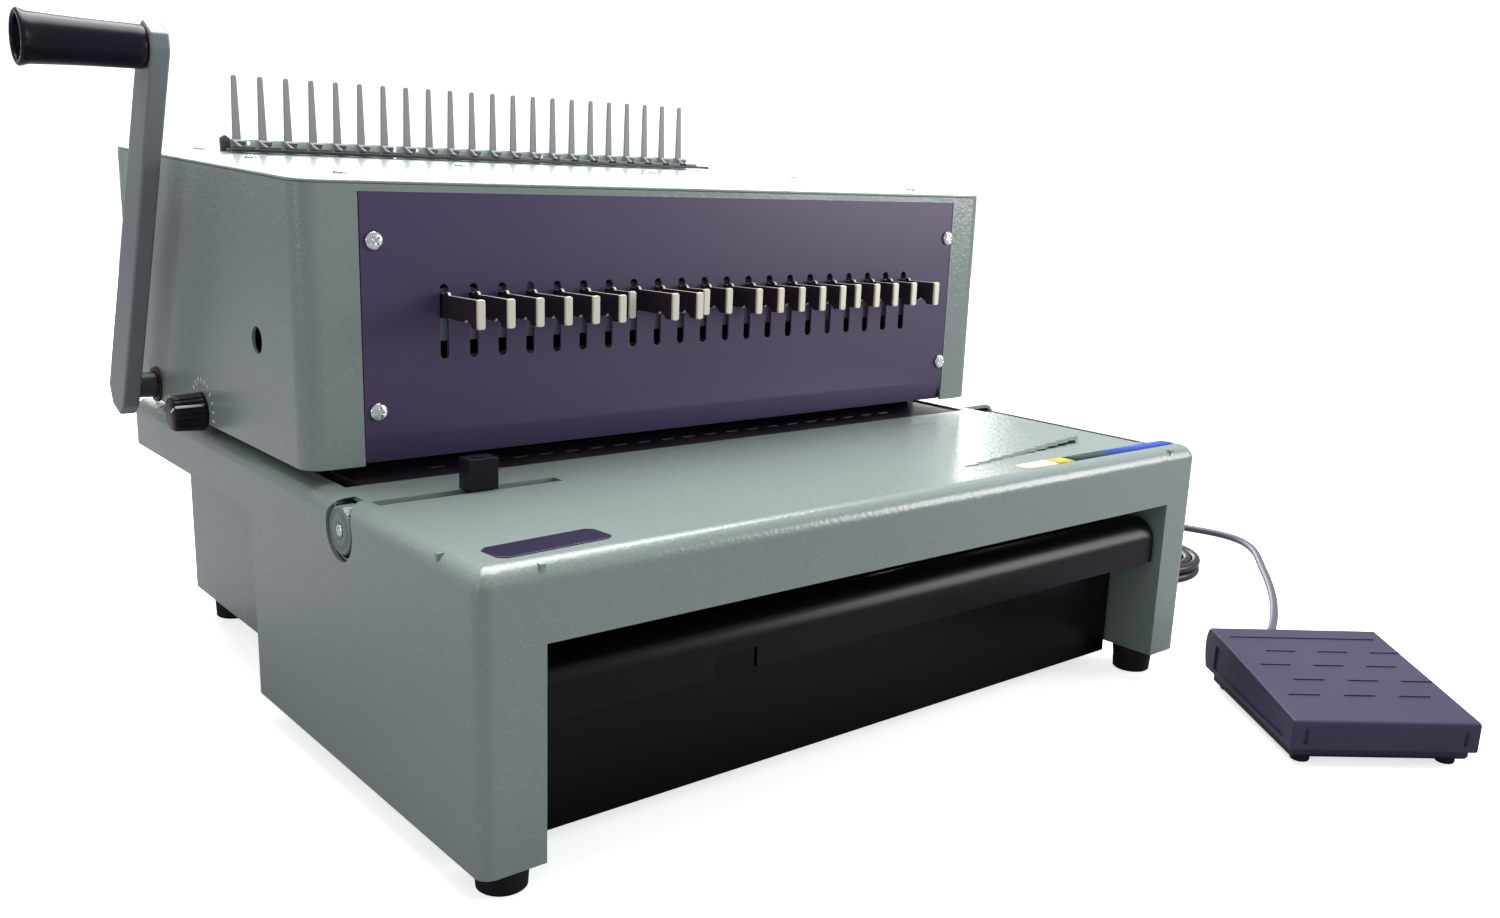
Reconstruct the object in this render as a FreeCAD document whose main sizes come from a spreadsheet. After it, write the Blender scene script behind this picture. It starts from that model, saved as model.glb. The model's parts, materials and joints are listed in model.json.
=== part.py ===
import FreeCAD, Part
import math
import os
import re
import Sketcher
from FreeCAD import Rotation, Vector

# Electric comb binding machine. Row frame: +X to the operator's right, +Y to the back, +Z up,
# with the floor at z = 0. The machine's own frame has x = 0 in the middle of the slot row and
# y = 0 on the face of the front panel; machine_x and machine_y carry it into the row frame.

doc = FreeCAD.newDocument("comb_binding_machine")
sheet = doc.addObject("Spreadsheet::Sheet", "dims")

SIZES = {
    # the machine's place in the row frame, and the comb pitch that every row follows
    "machine_x": -13.4, "machine_y": 26.65,
    "pitch": 14.2875, "slot_count": 21, "tine_count": 22,
    # punching head
    "head_wide": 414, "head_deep": 254, "head_low": 136.5, "head_high": 255, "head_rise": 10,
    "head_skin": 1.5, "head_corner": 10, "side_hole_bore": 6.1, "side_hole_back": 50.6,
    "side_hole_up": 186, "shaft_hole_bore": 8.6,
    # front panel and its slots
    "panel_wide": 362, "panel_thick": 1.2, "panel_fold_up": 148.5, "panel_top_gap": 3,
    "slot_mid": 197, "slot_tall": 33, "slot_wide": 4,
    # base
    "base_left": -206, "base_right": 229, "base_front": -146, "base_back": 255,
    "base_low": 14, "bed_top": 130.5, "base_skin": 2, "base_round": 8, "base_edge": 6,
    "opening_left": -179, "opening_right": 205, "opening_top": 100, "leg_deep": 34,
    "side_back": 72, "skirt_low": 104,
    "guide_slot_left": -195, "guide_slot_right": -109.5, "guide_slot_front": -43.5,
    "guide_slot_deep": 7.5,
    "ledge_drop": 4.2, "ledge_front": -128, "ledge_tip": 72, "ledge_corner": 202,
    "throat_back": 245, "throat_front": -8.5, "throat_half": 194,
    # rear pedestal and feet
    "pedestal_left": -180, "pedestal_right": 205, "pedestal_front": 76, "pedestal_back": 250,
    "pedestal_low": 16, "foot_bore": 11, "foot_inset": 18,
    # structure inside
    "frame_in": 187, "frame_thick": 5, "frame_front": 32, "frame_back": 244.5, "frame_low": 112.5,
    "frame_high": 248, "tie_bore": 5,
    # punching mechanism
    "punch_wide": 8, "punch_deep": 3, "punch_front": 6, "die_low": 112, "die_deep": 34,
    "guide_high": 140.8, "guide_back": 28, "bar_low": 151, "bar_high": 168, "bar_half": 165,
    "stroke": 10, "cam_back": 60, "cam_up": 190, "cam_bore": 14, "cam_throw": 5,
    "cam_side": 120, "shaft_bore": 8, "gear_module": 2, "gear_teeth": 36, "pinion_teeth": 12,
    "gear_side": 175, "gear_thick": 7, "motor_bore": 23, "motor_long": 100,
    # comb opener
    "hook_tall": 11, "hook_thick": 1.5, "hook_reach": 30, "hook_flange": 3.8, "hook_low": 198.3,
    "carrier_front": 4.5, "carrier_deep": 4, "tine_back": 227, "tine_thick": 1.6,
    "tine_root": 5.2, "tine_tip": 2.9, "tine_low": 262, "tine_high": 306,
    # lever
    "lever_back": 203, "lever_up": 144.5, "lever_shaft_bore": 6.5, "lever_lean": 27.7,
    "arm_long": 186, "arm_wide": 25, "arm_top_wide": 21, "arm_thick": 8.4, "arm_side": -227,
    "grip_bore": 11.8, "grip_long": 51, "grip_root": 9.5,
    # size knob, margin wheel, edge guide
    "knob_back": 129.7, "knob_up": 141.8, "knob_bore": 9.6, "knob_long": 15.5,
    "wheel_back": -29, "wheel_up": 118.2, "wheel_bore": 10.4, "wheel_wide": 8.5,
    "pocket_bore": 13, "stop_mid": -148, "stop_wide": 14,
    # chip tray
    "tray_left": -176.5, "tray_right": 202.5, "tray_front": -117, "tray_back": 66,
    "tray_low": 9, "tray_high": 84, "tray_skin": 2, "curl_bore": 12, "curl_mid": -130,
    "curl_up": 78.5,
    # foot pedal
    "pedal_x": 233, "pedal_y": -236.7, "pedal_turn": -37.3, "pedal_wide": 92, "pedal_long": 110,
    "pedal_back_high": 32, "pedal_front_high": 24, "pedal_low": 8.5, "pedal_skin": 2.2,
    # leads
    "pedal_lead_wide": 5, "mains_lead_wide": 6, "pedal_exit_y": 205, "pedal_exit_z": 40,
    "mains_exit_y": 140, "mains_exit_z": 45,
}
for row, (alias, number) in enumerate(SIZES.items(), 1):
    sheet.set(f"A{row}", alias)
    sheet.set(f"B{row}", str(number))
    sheet.setAlias(f"B{row}", alias)
doc.recompute()

LIE = {
    "XY": Rotation(),
    "XZ": Rotation(Vector(1, 0, 0), Vector(0, 0, 1), Vector(0, -1, 0), "ZXY"),
    "YZ": Rotation(Vector(0, 1, 0), Vector(0, 0, 1), Vector(1, 0, 0), "ZXY"),
}
ALONG = {"X": Rotation(Vector(0, 1, 0), 90), "Y": Rotation(Vector(1, 0, 0), -90), "Z": Rotation()}
pieces = []


# expression text with its words pointed at the sheet
def cells(text):
    return re.sub(r"[a-z][a-z_]*[a-z]", lambda word: "dims." + word.group(), str(text))


# number that an expression comes to
def amount(text):
    return float(sheet.evalExpression(cells(text)))


# stands an object at a point of the machine's frame
def stand(item, x, y, z, rotation=None):
    if rotation is not None:
        item.Placement = FreeCAD.Placement(Vector(0, 0, 0), rotation)
    item.setExpression("Placement.Base.x", cells(f"machine_x + ({x})"))
    item.setExpression("Placement.Base.y", cells(f"machine_y + ({y})"))
    item.setExpression("Placement.Base.z", cells(z))
    return item


def box(name, low, size):
    item = doc.addObject("Part::Box", name)
    for side, text in zip(("Length", "Width", "Height"), size):
        item.setExpression(side, cells(text))
    return stand(item, *low)


def rod(name, start, along, radius, length):
    item = doc.addObject("Part::Cylinder", name)
    item.setExpression("Radius", cells(radius))
    item.setExpression("Height", cells(length))
    return stand(item, *start, ALONG[along])


def join(name, parts):
    item = doc.addObject("Part::MultiFuse", name)
    item.Shapes = parts
    item.Refine = True
    return item


def cut(name, base, tools):
    item = doc.addObject("Part::Cut", name)
    item.Base = base
    item.Tool = tools[0] if len(tools) == 1 else join(name + "_tools", tools)
    return item


# separate solids that share one node
def group(name, parts):
    item = doc.addObject("Part::Compound", name)
    item.Links = parts
    return item


def rounded(name, base, radius, wanted):
    doc.recompute()
    reach = amount(radius)
    item = doc.addObject("Part::Fillet", name)
    item.Base = base
    item.Edges = [(number, reach, reach) for number, edge in enumerate(base.Shape.Edges, 1) if wanted(edge)]
    return item


def is_upright(edge):
    return abs(edge.tangentAt(edge.FirstParameter).z) > 0.99


# keeps a finished sub-part under its node name
def keep(label, item):
    item.Label = label
    pieces.append(item)
    return item


# PartDesign body lying in one of the machine's planes
def new_body(name, x, y, z, lie="XY", rotation=None):
    body = doc.addObject("PartDesign::Body", name)
    return stand(body, x, y, z, rotation or LIE[lie])


# closed outline whose corners are bound to the sheet
def outline(body, name, corners):
    sketch = body.newObject("Sketcher::SketchObject", name)
    plane = next(item for item in body.Origin.OriginFeatures if item.Role == "XY_Plane")
    sketch.AttachmentSupport = (plane, [""])
    sketch.MapMode = "FlatFace"
    points = [Vector(amount(x), amount(y), 0) for x, y in corners]
    count = len(points)
    sketch.addGeometry([Part.LineSegment(points[i], points[(i + 1) % count]) for i in range(count)])
    for i in range(count):
        sketch.addConstraint(Sketcher.Constraint("Coincident", i, 2, (i + 1) % count, 1))
    for i, corner in enumerate(corners):
        for kind, letter, text in (("DistanceX", "x", corner[0]), ("DistanceY", "y", corner[1])):
            number = sketch.addConstraint(Sketcher.Constraint(kind, -1, 1, i, 1, amount(text)))
            sketch.renameConstraint(number, f"{letter}{i}")
            sketch.setExpression(f"Constraints.{letter}{i}", cells(text))
    return sketch


def pad(body, sketch, length):
    item = body.newObject("PartDesign::Pad", sketch.Name + "_pad")
    item.Profile = sketch
    item.setExpression("Length", cells(length))
    return item


def pocket_through(body, sketch):
    item = body.newObject("PartDesign::Pocket", sketch.Name + "_pocket")
    item.Profile = sketch
    item.Type = "ThroughAll"
    item.Midplane = True
    return item


def repeat(body, feature, sketch, step, count):
    doc.recompute()
    item = body.newObject("PartDesign::LinearPattern", feature.Name + "_row")
    item.Originals = [feature]
    item.Direction = (sketch, ["H_Axis"])
    item.setExpression("Length", cells(f"({step}) * ({count} - 1)"))
    item.setExpression("Occurrences", cells(count))
    body.Tip = item
    return item


def rectangle(x, y, wide, tall):
    return [(x, y), (f"{x} + {wide}", y), (f"{x} + {wide}", f"{y} + {tall}"), (x, f"{y} + {tall}")]


# shape made by Part's own functions, standing in the machine's frame
def solid(name, shape, x="0", y="0", z="0", rotation=None):
    item = doc.addObject("Part::Feature", name)
    item.Shape = shape
    return stand(item, x, y, z, rotation)


# ------------------------------------------------------------------ base

def make_base_cover():
    wide = "base_right - base_left"
    deep = "base_back - base_front"
    outer = box("base_outer", ("base_left", "base_front", "base_low"), (wide, deep, "bed_top - base_low"))
    inner = box("base_inner", ("base_left + base_skin", "base_front + base_skin", "base_low - 1"),
                (f"{wide} - 2*base_skin", f"{deep} - 2*base_skin", "bed_top - base_low - base_skin + 1"))
    top = amount("bed_top")

    def shoulder(edge):
        return edge.BoundBox.ZMin > top - 0.1

    posts = rounded("base_posts", outer, "base_edge", is_upright)
    hood = rounded("base_hood", posts, "base_round", shoulder)
    cavity_posts = rounded("cavity_posts", inner, "base_edge - base_skin", is_upright)

    def inner_shoulder(edge):
        return edge.BoundBox.ZMin > top - amount("base_skin") - 0.1

    cavity = rounded("base_cavity", cavity_posts, "base_round - base_skin", inner_shoulder)
    shell = cut("base_shell", hood, [cavity])
    leg_tall = "bed_top - base_skin/2 - base_low"
    left_wide = "opening_left - base_left - 1"
    right_wide = "base_right - opening_right - 1"
    flange_y = "base_front + leg_deep - base_skin"
    legs = [
        box("leg_wall_left", ("opening_left - base_skin", "base_front + 1", "base_low"),
            ("base_skin", "leg_deep - 1", leg_tall)),
        box("leg_wall_right", ("opening_right", "base_front + 1", "base_low"),
            ("base_skin", "leg_deep - 1", leg_tall)),
        box("leg_back_left", ("base_left + 1", flange_y, "base_low"), (left_wide, "base_skin", leg_tall)),
        box("leg_back_right", ("opening_right", flange_y, "base_low"), (right_wide, "base_skin", leg_tall)),
        box("side_back_left", ("base_left + 1", "side_back - base_skin", "base_low"),
            (left_wide, "base_skin", "skirt_low - base_low + 4")),
        box("side_back_right", ("opening_right", "side_back - base_skin", "base_low"),
            (right_wide, "base_skin", "skirt_low - base_low + 4")),
    ]
    body = join("base_whole", [shell] + legs)
    tools = [
        box("front_opening", ("opening_left", "base_front - 5", "base_low - 5"),
            ("opening_right - opening_left", "base_skin + 6", "opening_top - base_low + 5")),
        box("under_skirt", ("base_left - 5", "side_back", "base_low - 5"),
            (f"{wide} + 10", "base_back - side_back + 5", "skirt_low - base_low + 5")),
        box("throat_window", ("-throat_half", "throat_front", "bed_top - 12"),
            ("2*throat_half", "throat_back - throat_front", "20")),
        box("guide_slot", ("guide_slot_left", "guide_slot_front", "bed_top - 12"),
            ("guide_slot_right - guide_slot_left", "guide_slot_deep", "20")),
        rod("wheel_pocket", ("base_left - 2", "wheel_back", "wheel_up"), "X", "pocket_bore", "wheel_wide + 3"),
        make_ledge_tool("ledge_tool", "ledge_drop", "20"),
        box("ledge_relief", ("opening_right - 1", "ledge_front", "bed_top - ledge_drop - 2"),
            ("base_right - opening_right - 4.5", "17", "2.1")),
    ]
    keep("base_cover", cut("base_cover", body, tools))


# prism over the sunken ledge: its front-left side climbs in a stair of equal steps
def make_ledge_tool(name, below, tall):
    body = new_body(name, "0", "0", f"bed_top - {below}")
    steps = 10
    run, rise = "(ledge_corner - 13 - ledge_tip)/10", "22/10"
    corners = [("ledge_tip", "ledge_front"), ("base_right + 4", "ledge_front"), ("base_right + 4", "-2"),
               ("ledge_corner - 2", "-2"), ("ledge_corner", "-78"), ("ledge_corner - 3", "-87"),
               ("ledge_corner - 9", "-92")]
    for step in range(steps, 0, -1):
        corners.append((f"ledge_tip + {run}*{step}", f"ledge_front + 12 + {rise}*{step}"))
        corners.append((f"ledge_tip + {run}*{step}", f"ledge_front + 12 + {rise}*{step - 1}"))
    corners.append(("ledge_tip", "ledge_front + 12"))
    pad(body, outline(body, name + "_outline", corners), tall)
    return body


# floor of the sunken ledge: level with the bed at its tip, ledge_drop below it past the corner
def make_ledge_plate():
    ramp = new_body("ledge_ramp", "0", "-2", "0", "XZ")
    low = "bed_top - ledge_drop"
    outline_ramp = outline(ramp, "ledge_ramp_outline", [
        ("ledge_tip + 2", "bed_top - 0.4"), ("ledge_corner", low), ("base_right - 6", low),
        ("base_right - 6", f"{low} - 1.6"), ("ledge_corner", f"{low} - 1.6"), ("ledge_tip + 2", "bed_top - 2")])
    pad(ramp, outline_ramp, "-ledge_front - 2")
    prism = make_ledge_tool("ledge_prism", "10", "12")
    item = doc.addObject("Part::Common", "ledge_plate")
    item.Base = ramp
    item.Tool = prism
    keep("size_ledge", item)


def make_bed_trim():
    colours = [("strip_white", 95, 24), ("strip_gold", 119.1, 12.8), ("strip_green", 132, 32),
               ("strip_blue", 164.1, 56.5)]
    keep("size_colour_strip", group("size_colour_strip", [
        box(name, (str(left), "ledge_front - 9.4", "bed_top"), (str(wide), "9.2", "0.3"))
        for name, left, wide in colours]))
    badge = new_body("badge", "-191.3", "-135.2", "bed_top")
    pad(badge, outline(badge, "badge_outline", [
        ("0", "3"), ("3", "0"), ("47", "2.6"), ("50", "5"), ("49", "15.5"), ("46", "18.2"), ("2", "15.6"),
        ("-1", "13")]), "0.5")
    keep("badge_plate", badge)
    pin = rod("wheel_pin_rod", ("base_left + 2.2", "wheel_back", "wheel_up"), "X", "2", "wheel_wide + 8")
    cup = cut("wheel_cup", rod("wheel_cup_outer", ("base_left + 2.2", "wheel_back", "wheel_up"), "X",
                               "pocket_bore - 0.2", "wheel_wide + 5"),
              [rod("wheel_cup_inner", ("base_left + 1", "wheel_back", "wheel_up"), "X",
                   "pocket_bore - 1.4", "wheel_wide + 5"),
               box("wheel_cup_top", ("base_left", "wheel_back - 20", "bed_top - 2.4"), ("30", "40", "10"))])
    keep("wheel_bracket", join("wheel_bracket", [pin, cup]))


def make_pedestal():
    wide, deep = "pedestal_right - pedestal_left", "pedestal_back - pedestal_front"
    outer = box("pedestal_outer", ("pedestal_left", "pedestal_front", "pedestal_low"),
                (wide, deep, "skirt_low + 8 - pedestal_low"))
    posts = rounded("pedestal_posts", outer, "4", is_upright)
    inner = box("pedestal_inner", ("pedestal_left + head_skin", "pedestal_front + head_skin", "pedestal_low - 1"),
                (f"{wide} - 2*head_skin", f"{deep} - 2*head_skin", "skirt_low + 20 - pedestal_low"))
    vents = [box(f"pedestal_vent_{i}", (f"-60 + {i}*12", "pedestal_back - 5", "46"), ("4.5", "10", "34"))
             for i in range(8)]
    inlet = box("inlet_window", ("pedestal_right - 5", "96", "38"), ("10", "20", "28"))
    keep("rear_pedestal", cut("rear_pedestal", posts, [inner, inlet] + vents))
    keep("bottom_plate", box("bottom_plate", ("pedestal_left + 2", "pedestal_front + 2", "pedestal_low"),
                             (f"{wide} - 4", f"{deep} - 4", "1.5")))


def make_feet():
    feet = []
    places = [("left", "base_left + foot_inset", "base_front + foot_inset", "base_low"),
              ("right", "base_right - foot_inset + 4", "base_front + foot_inset", "base_low"),
              ("back_left", "pedestal_left + 16", "pedestal_back - 18", "pedestal_low"),
              ("back_right", "pedestal_right - 16", "pedestal_back - 18", "pedestal_low")]
    for name, x, y, tall in places:
        foot = doc.addObject("Part::Cone", "foot_" + name)
        foot.setExpression("Radius1", cells("foot_bore - 1"))
        foot.setExpression("Radius2", cells("foot_bore"))
        foot.setExpression("Height", cells(tall))
        feet.append(stand(foot, x, y, "0"))
    keep("rubber_feet", group("rubber_feet", feet))


# ------------------------------------------------------------------ head

# wedge that takes away everything above the sloping top
def above_slope(name, lift):
    item = box(name, ("-head_wide", "0", f"head_high + {lift}"), ("2*head_wide", "head_deep*1.2", "60"))
    slope = math.degrees(math.atan(amount("head_rise/head_deep")))
    item.Placement = FreeCAD.Placement(Vector(0, 0, 0), Rotation(Vector(1, 0, 0), slope))
    return stand(item, "-head_wide", "-10*head_rise/head_deep", f"head_high + {lift}")


def make_head_cover():
    outer = box("head_outer", ("-head_wide/2", "0", "head_low"),
                ("head_wide", "head_deep", "head_high + 20 - head_low"))
    posts = rounded("head_posts", outer, "head_corner", is_upright)
    inner = box("head_inner", ("-head_wide/2 + head_skin", "head_skin", "head_low - 1"),
                ("head_wide - 2*head_skin", "head_deep - 2*head_skin", "head_high + 30 - head_low"))
    hollow = rounded("head_hollow", inner, "head_corner - head_skin", is_upright)
    tools = [
        hollow, above_slope("head_slope", "0"),
        box("panel_window", ("-panel_wide/2", "-5", "head_low - 5"),
            ("panel_wide", "head_skin + 8", "head_high - panel_top_gap - head_low + 5")),
        rod("side_hole", ("-head_wide/2 - 5", "side_hole_back", "side_hole_up"), "X", "side_hole_bore", "10"),
        rod("shaft_hole", ("-head_wide/2 - 5", "lever_back", "lever_up"), "X", "shaft_hole_bore", "10"),
        rod("knob_hole", ("-head_wide/2 - 5", "knob_back", "knob_up"), "X", "3.4", "10"),
    ]
    tools += [box(f"head_vent_{i}", (f"-100 + {i}*14", "head_deep - 5", "175"), ("5", "10", "45"))
              for i in range(15)]
    keep("head_cover", cut("head_cover", posts, tools))


def make_top_cover():
    slab = box("top_slab", ("-head_wide/2", "0", "head_high"), ("head_wide", "head_deep", "60"))
    posts = rounded("top_posts", slab, "head_corner", is_upright)
    slot = box("tine_slot", ("-162", "tine_back - 3", "head_high - 20"), ("324", "9", "60"))
    keep("top_cover", cut("top_cover", posts, [above_slope("top_slope_over", "head_skin"), slot,
                                               below_slope("top_slope_under")]))


def below_slope(name):
    item = box(name, ("-head_wide", "0", "head_high"), ("2*head_wide", "head_deep*1.2", "60"))
    slope = math.degrees(math.atan(amount("head_rise/head_deep")))
    item.Placement = FreeCAD.Placement(Vector(0, 0, 0), Rotation(Vector(1, 0, 0), slope))
    turned = math.radians(slope)
    return stand(item, "-head_wide", f"{60 * math.sin(turned):.4f} - 0.4",
                 f"head_high + 0.06 - {60 * math.cos(turned):.4f}")


def make_front_panel():
    body = new_body("panel_sheet", "0", "panel_thick", "0", "XZ")
    tall = "head_high - panel_top_gap - panel_fold_up"
    pad(body, outline(body, "panel_outline",
                      rectangle("-panel_wide/2 + 0.4", "panel_fold_up", "panel_wide - 0.8", tall)), "panel_thick")
    left = "-(slot_count - 1)*pitch/2 - slot_wide/2"
    slot = outline(body, "slot_outline", [
        (left, "slot_mid - slot_tall/2 + 1.2"), (f"{left} + 1.2", "slot_mid - slot_tall/2"),
        (f"{left} + slot_wide - 1.2", "slot_mid - slot_tall/2"),
        (f"{left} + slot_wide", "slot_mid - slot_tall/2 + 1.2"),
        (f"{left} + slot_wide", "slot_mid + slot_tall/2 - 1.2"),
        (f"{left} + slot_wide - 1.2", "slot_mid + slot_tall/2"),
        (f"{left} + 1.2", "slot_mid + slot_tall/2"), (left, "slot_mid + slot_tall/2 - 1.2")])
    repeat(body, pocket_through(body, slot), slot, "pitch", "slot_count")
    lip = new_body("panel_lip", "-panel_wide/2 + 0.4", "0", "0", "YZ")
    pad(lip, outline(lip, "lip_outline", [
        ("0", "panel_fold_up"), ("3", "head_low + 0.5"), ("3 + panel_thick", "head_low + 0.5"),
        ("panel_thick", "panel_fold_up")]), "panel_wide - 0.8")
    keep("front_panel", join("folded_panel", [body, lip]))


def pan_screw(name, x, y, z, along, radius, proud):
    item = rod(name, (x, y, z), along, radius, proud)
    return rounded(name + "_head", item, "0.9", lambda edge: edge.Length > 5 and far_end(edge, item, along))


# true on the free rim of a screw's head
def far_end(edge, item, along):
    centre = edge.BoundBox.Center
    middle = item.Shape.BoundBox.Center
    if along == "Y":
        return centre.y < middle.y - 0.1
    return centre.z > middle.z + 0.1


def make_screws():
    heads = [pan_screw(f"panel_screw_{i}", str(x), "-2.1", str(z), "Y", "4", "2")
             for i, (x, z) in enumerate([(-174.6, 232), (-174.6, 159.7), (177.5, 232), (177.5, 160)])]
    keep("panel_screws", group("panel_screws", heads))
    heads = []
    for i, (x, y) in enumerate([(-168, 48), (-167, 160), (-165, 243), (187, 40), (188, 150), (187, 243),
                                (-56, 150), (69, 143)]):
        up = f"head_high + {y}*head_rise/head_deep + head_skin + 0.2"
        heads.append(pan_screw(f"cover_screw_{i}", str(x), str(y), up, "Z", "3.2", "1.4"))
    keep("cover_screws", group("cover_screws", heads))


# ------------------------------------------------------------------ structure

def make_frames():
    for side, x in (("left", "-frame_in - frame_thick"), ("right", "frame_in")):
        plate = box(f"frame_{side}_plate", (x, "frame_front", "frame_low"),
                    ("frame_thick", "frame_back - frame_front", "frame_high - frame_low"))
        holes = [
            rod(f"frame_{side}_cam_hole", (f"{x} - 5", "cam_back", "cam_up"), "X", "11.05", "20"),
            rod(f"frame_{side}_lever_hole", (f"{x} - 5", "lever_back", "lever_up"), "X", "10.05", "20"),
        ]
        keep(f"frame_{side}", cut(f"frame_{side}", plate, holes))
    ties = [rod(f"tie_bar_{i}", ("-frame_in", str(y), str(z)), "X", "tie_bore", "2*frame_in")
            for i, (y, z) in enumerate([(150, 120), (238, 236), (238, 130), (40, 238)])]
    keep("tie_bars", group("tie_bars", ties))
    bearings = []
    for side, x, flange in (("left", "-frame_in - frame_thick", "-frame_in"),
                            ("right", "frame_in", "frame_in - 2.5")):
        sleeve = rod(f"bearing_{side}_sleeve", (x, "cam_back", "cam_up"), "X", "11.05", "frame_thick")
        rim = rod(f"bearing_{side}_rim", (flange, "cam_back", "cam_up"), "X", "13", "2.5")
        bore = rod(f"bearing_{side}_bore", (f"{x} - 9", "cam_back", "cam_up"), "X", "shaft_bore + 0.05", "30")
        bearings.append(cut(f"bearing_{side}", join(f"bearing_{side}_body", [sleeve, rim]), [bore]))
    keep("camshaft_bearings", group("camshaft_bearings", bearings))
    bushes = []
    for side, x in (("left", "-frame_in - frame_thick"), ("right", "frame_in")):
        sleeve = rod(f"bush_{side}_sleeve", (x, "lever_back", "lever_up"), "X", "10.05", "frame_thick")
        bore = rod(f"bush_{side}_bore", (f"{x} - 5", "lever_back", "lever_up"), "X",
                   "lever_shaft_bore + 0.05", "20")
        bushes.append(cut(f"bush_{side}", sleeve, [bore]))
    keep("lever_bushes", group("lever_bushes", bushes))


# bar along X with a row of rectangular holes at the comb pitch
def holed_bar(name, y, z, deep, tall, play):
    body = new_body(name, "0", "0", z)
    pad(body, outline(body, name + "_outline", rectangle("-frame_in + 0.5", y, "2*frame_in - 1", deep)), tall)
    left = f"-(slot_count - 1)*pitch/2 - punch_wide/2 - {play}"
    hole = outline(body, name + "_hole", rectangle(left, f"punch_front - {play}", f"punch_wide + 2*{play}",
                                                   f"punch_deep + 2*{play}"))
    repeat(body, pocket_through(body, hole), hole, "pitch", "slot_count")
    return keep(name, body)


def make_punch():
    holed_bar("die_block", "throat_front + 0.5", "die_low", "die_deep", "bed_top - die_low", "0.2")
    holed_bar("punch_guide", "4.6", "head_low + 0.2", "guide_back - 4.6", "guide_high - head_low - 0.2", "0.3")
    left = "-(slot_count - 1)*pitch/2 - punch_wide/2"
    rows = [box(f"punch_{i}", (f"{left} + {i}*pitch", "punch_front", "head_low + 1.5"),
                ("punch_wide", "punch_deep", "bar_low - head_low - 1.5")) for i in range(SIZES["slot_count"])]
    keep("punches", group("punch_row", rows))
    beam = box("punch_beam", ("-bar_half", "4.8", "bar_low"), ("2*bar_half", "9.4", "bar_high - bar_low"))
    parts = [beam]
    for side, x in (("left", "-cam_side - 4"), ("right", "cam_side - 4")):
        arm = box(f"yoke_{side}_arm", (x, "10", "bar_low"), ("8", "74", "bar_high - bar_low - 1"))
        post = box(f"yoke_{side}_post", (x, "cam_back - 24", "bar_low"),
                   ("8", "48", "cam_up + cam_throw + cam_bore + 6 - bar_low"))
        window = box(f"yoke_{side}_window", (f"{x} - 2", "cam_back - cam_bore - cam_throw - 1",
                                             "cam_up + cam_throw - cam_bore - 1.9"),
                     ("12", "2*(cam_bore + cam_throw + 1)", "2*cam_bore + 3.8"))
        parts.append(cut(f"yoke_{side}", join(f"yoke_{side}_body", [arm, post]), [window]))
    keep("punch_bar", join("punch_bar", parts))


# toothed disc about X with straight-flanked teeth; root and tip stand off the mating gear
def gear_shape(teeth, module, thick, phase, bore):
    pitch_radius = teeth * module / 2
    root, tip = pitch_radius - 1.15 * module, pitch_radius + 0.8 * module
    step = 2 * math.pi / teeth
    points = []
    for tooth in range(teeth):
        middle = tooth * step + phase
        for radius, share in ((root, -0.30), (tip, -0.12), (tip, 0.12), (root, 0.30)):
            angle = middle + share * step
            points.append(Vector(0, radius * math.cos(angle), radius * math.sin(angle)))
    face = Part.Face(Part.makePolygon(points + [points[0]]))
    blank = face.extrude(Vector(thick, 0, 0))
    return blank.cut(Part.makeCylinder(bore, thick + 2, Vector(-1, 0, 0), Vector(1, 0, 0)))


def make_drive():
    shaft = rod("cam_spindle", ("-frame_in - frame_thick - 3", "cam_back", "cam_up"), "X", "shaft_bore",
                "2*frame_in + frame_thick + 7")
    cams = [rod(f"cam_{side}", (x, "cam_back", "cam_up + cam_throw"), "X", "cam_bore", "10")
            for side, x in (("left", "-cam_side - 5"), ("right", "cam_side - 5"))]
    keep("camshaft", join("camshaft", [shaft] + cams))
    module, thick = SIZES["gear_module"], SIZES["gear_thick"]
    gear = gear_shape(SIZES["gear_teeth"], module, thick, 0, SIZES["shaft_bore"])
    keep("drive_gear", solid("drive_gear", gear, "gear_side", "cam_back", "cam_up"))
    reach = "gear_module*(gear_teeth + pinion_teeth)/2"
    half_tooth = math.pi / SIZES["pinion_teeth"]
    pinion = gear_shape(SIZES["pinion_teeth"], module, thick, math.pi + half_tooth, 4)
    teeth = solid("pinion_teeth", pinion, "gear_side", f"cam_back + {reach}", "cam_up")
    spindle = rod("motor_spindle", ("gear_side - 8", f"cam_back + {reach}", "cam_up"), "X", "4",
                  "gear_thick + 9.5")
    keep("motor_pinion", join("motor_pinion", [teeth, spindle]))
    case = rod("motor_case", ("gear_side - 13 - motor_long", f"cam_back + {reach}", "cam_up"), "X",
               "motor_bore", "motor_long")
    box_end = box("gearbox_case", ("gear_side - 33", f"cam_back + {reach} - motor_bore", "cam_up - 26"),
                  ("20", "2*motor_bore + 8", "52"))
    nose = rod("motor_nose", ("gear_side - 13", f"cam_back + {reach}", "cam_up"), "X", "8", "5.5")
    spindle_room = rod("spindle_room", ("gear_side - 15", f"cam_back + {reach}", "cam_up"), "X", "4.06", "20")
    keep("gear_motor", cut("gear_motor", join("gear_motor_body", [case, box_end, nose]), [spindle_room]))
    bracket = box("bracket_foot", ("gear_side - 33", f"cam_back + {reach} - motor_bore + 4", "cam_up - 60"),
                  ("20", "2*motor_bore", "34"))
    keep("motor_bracket", bracket)


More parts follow.
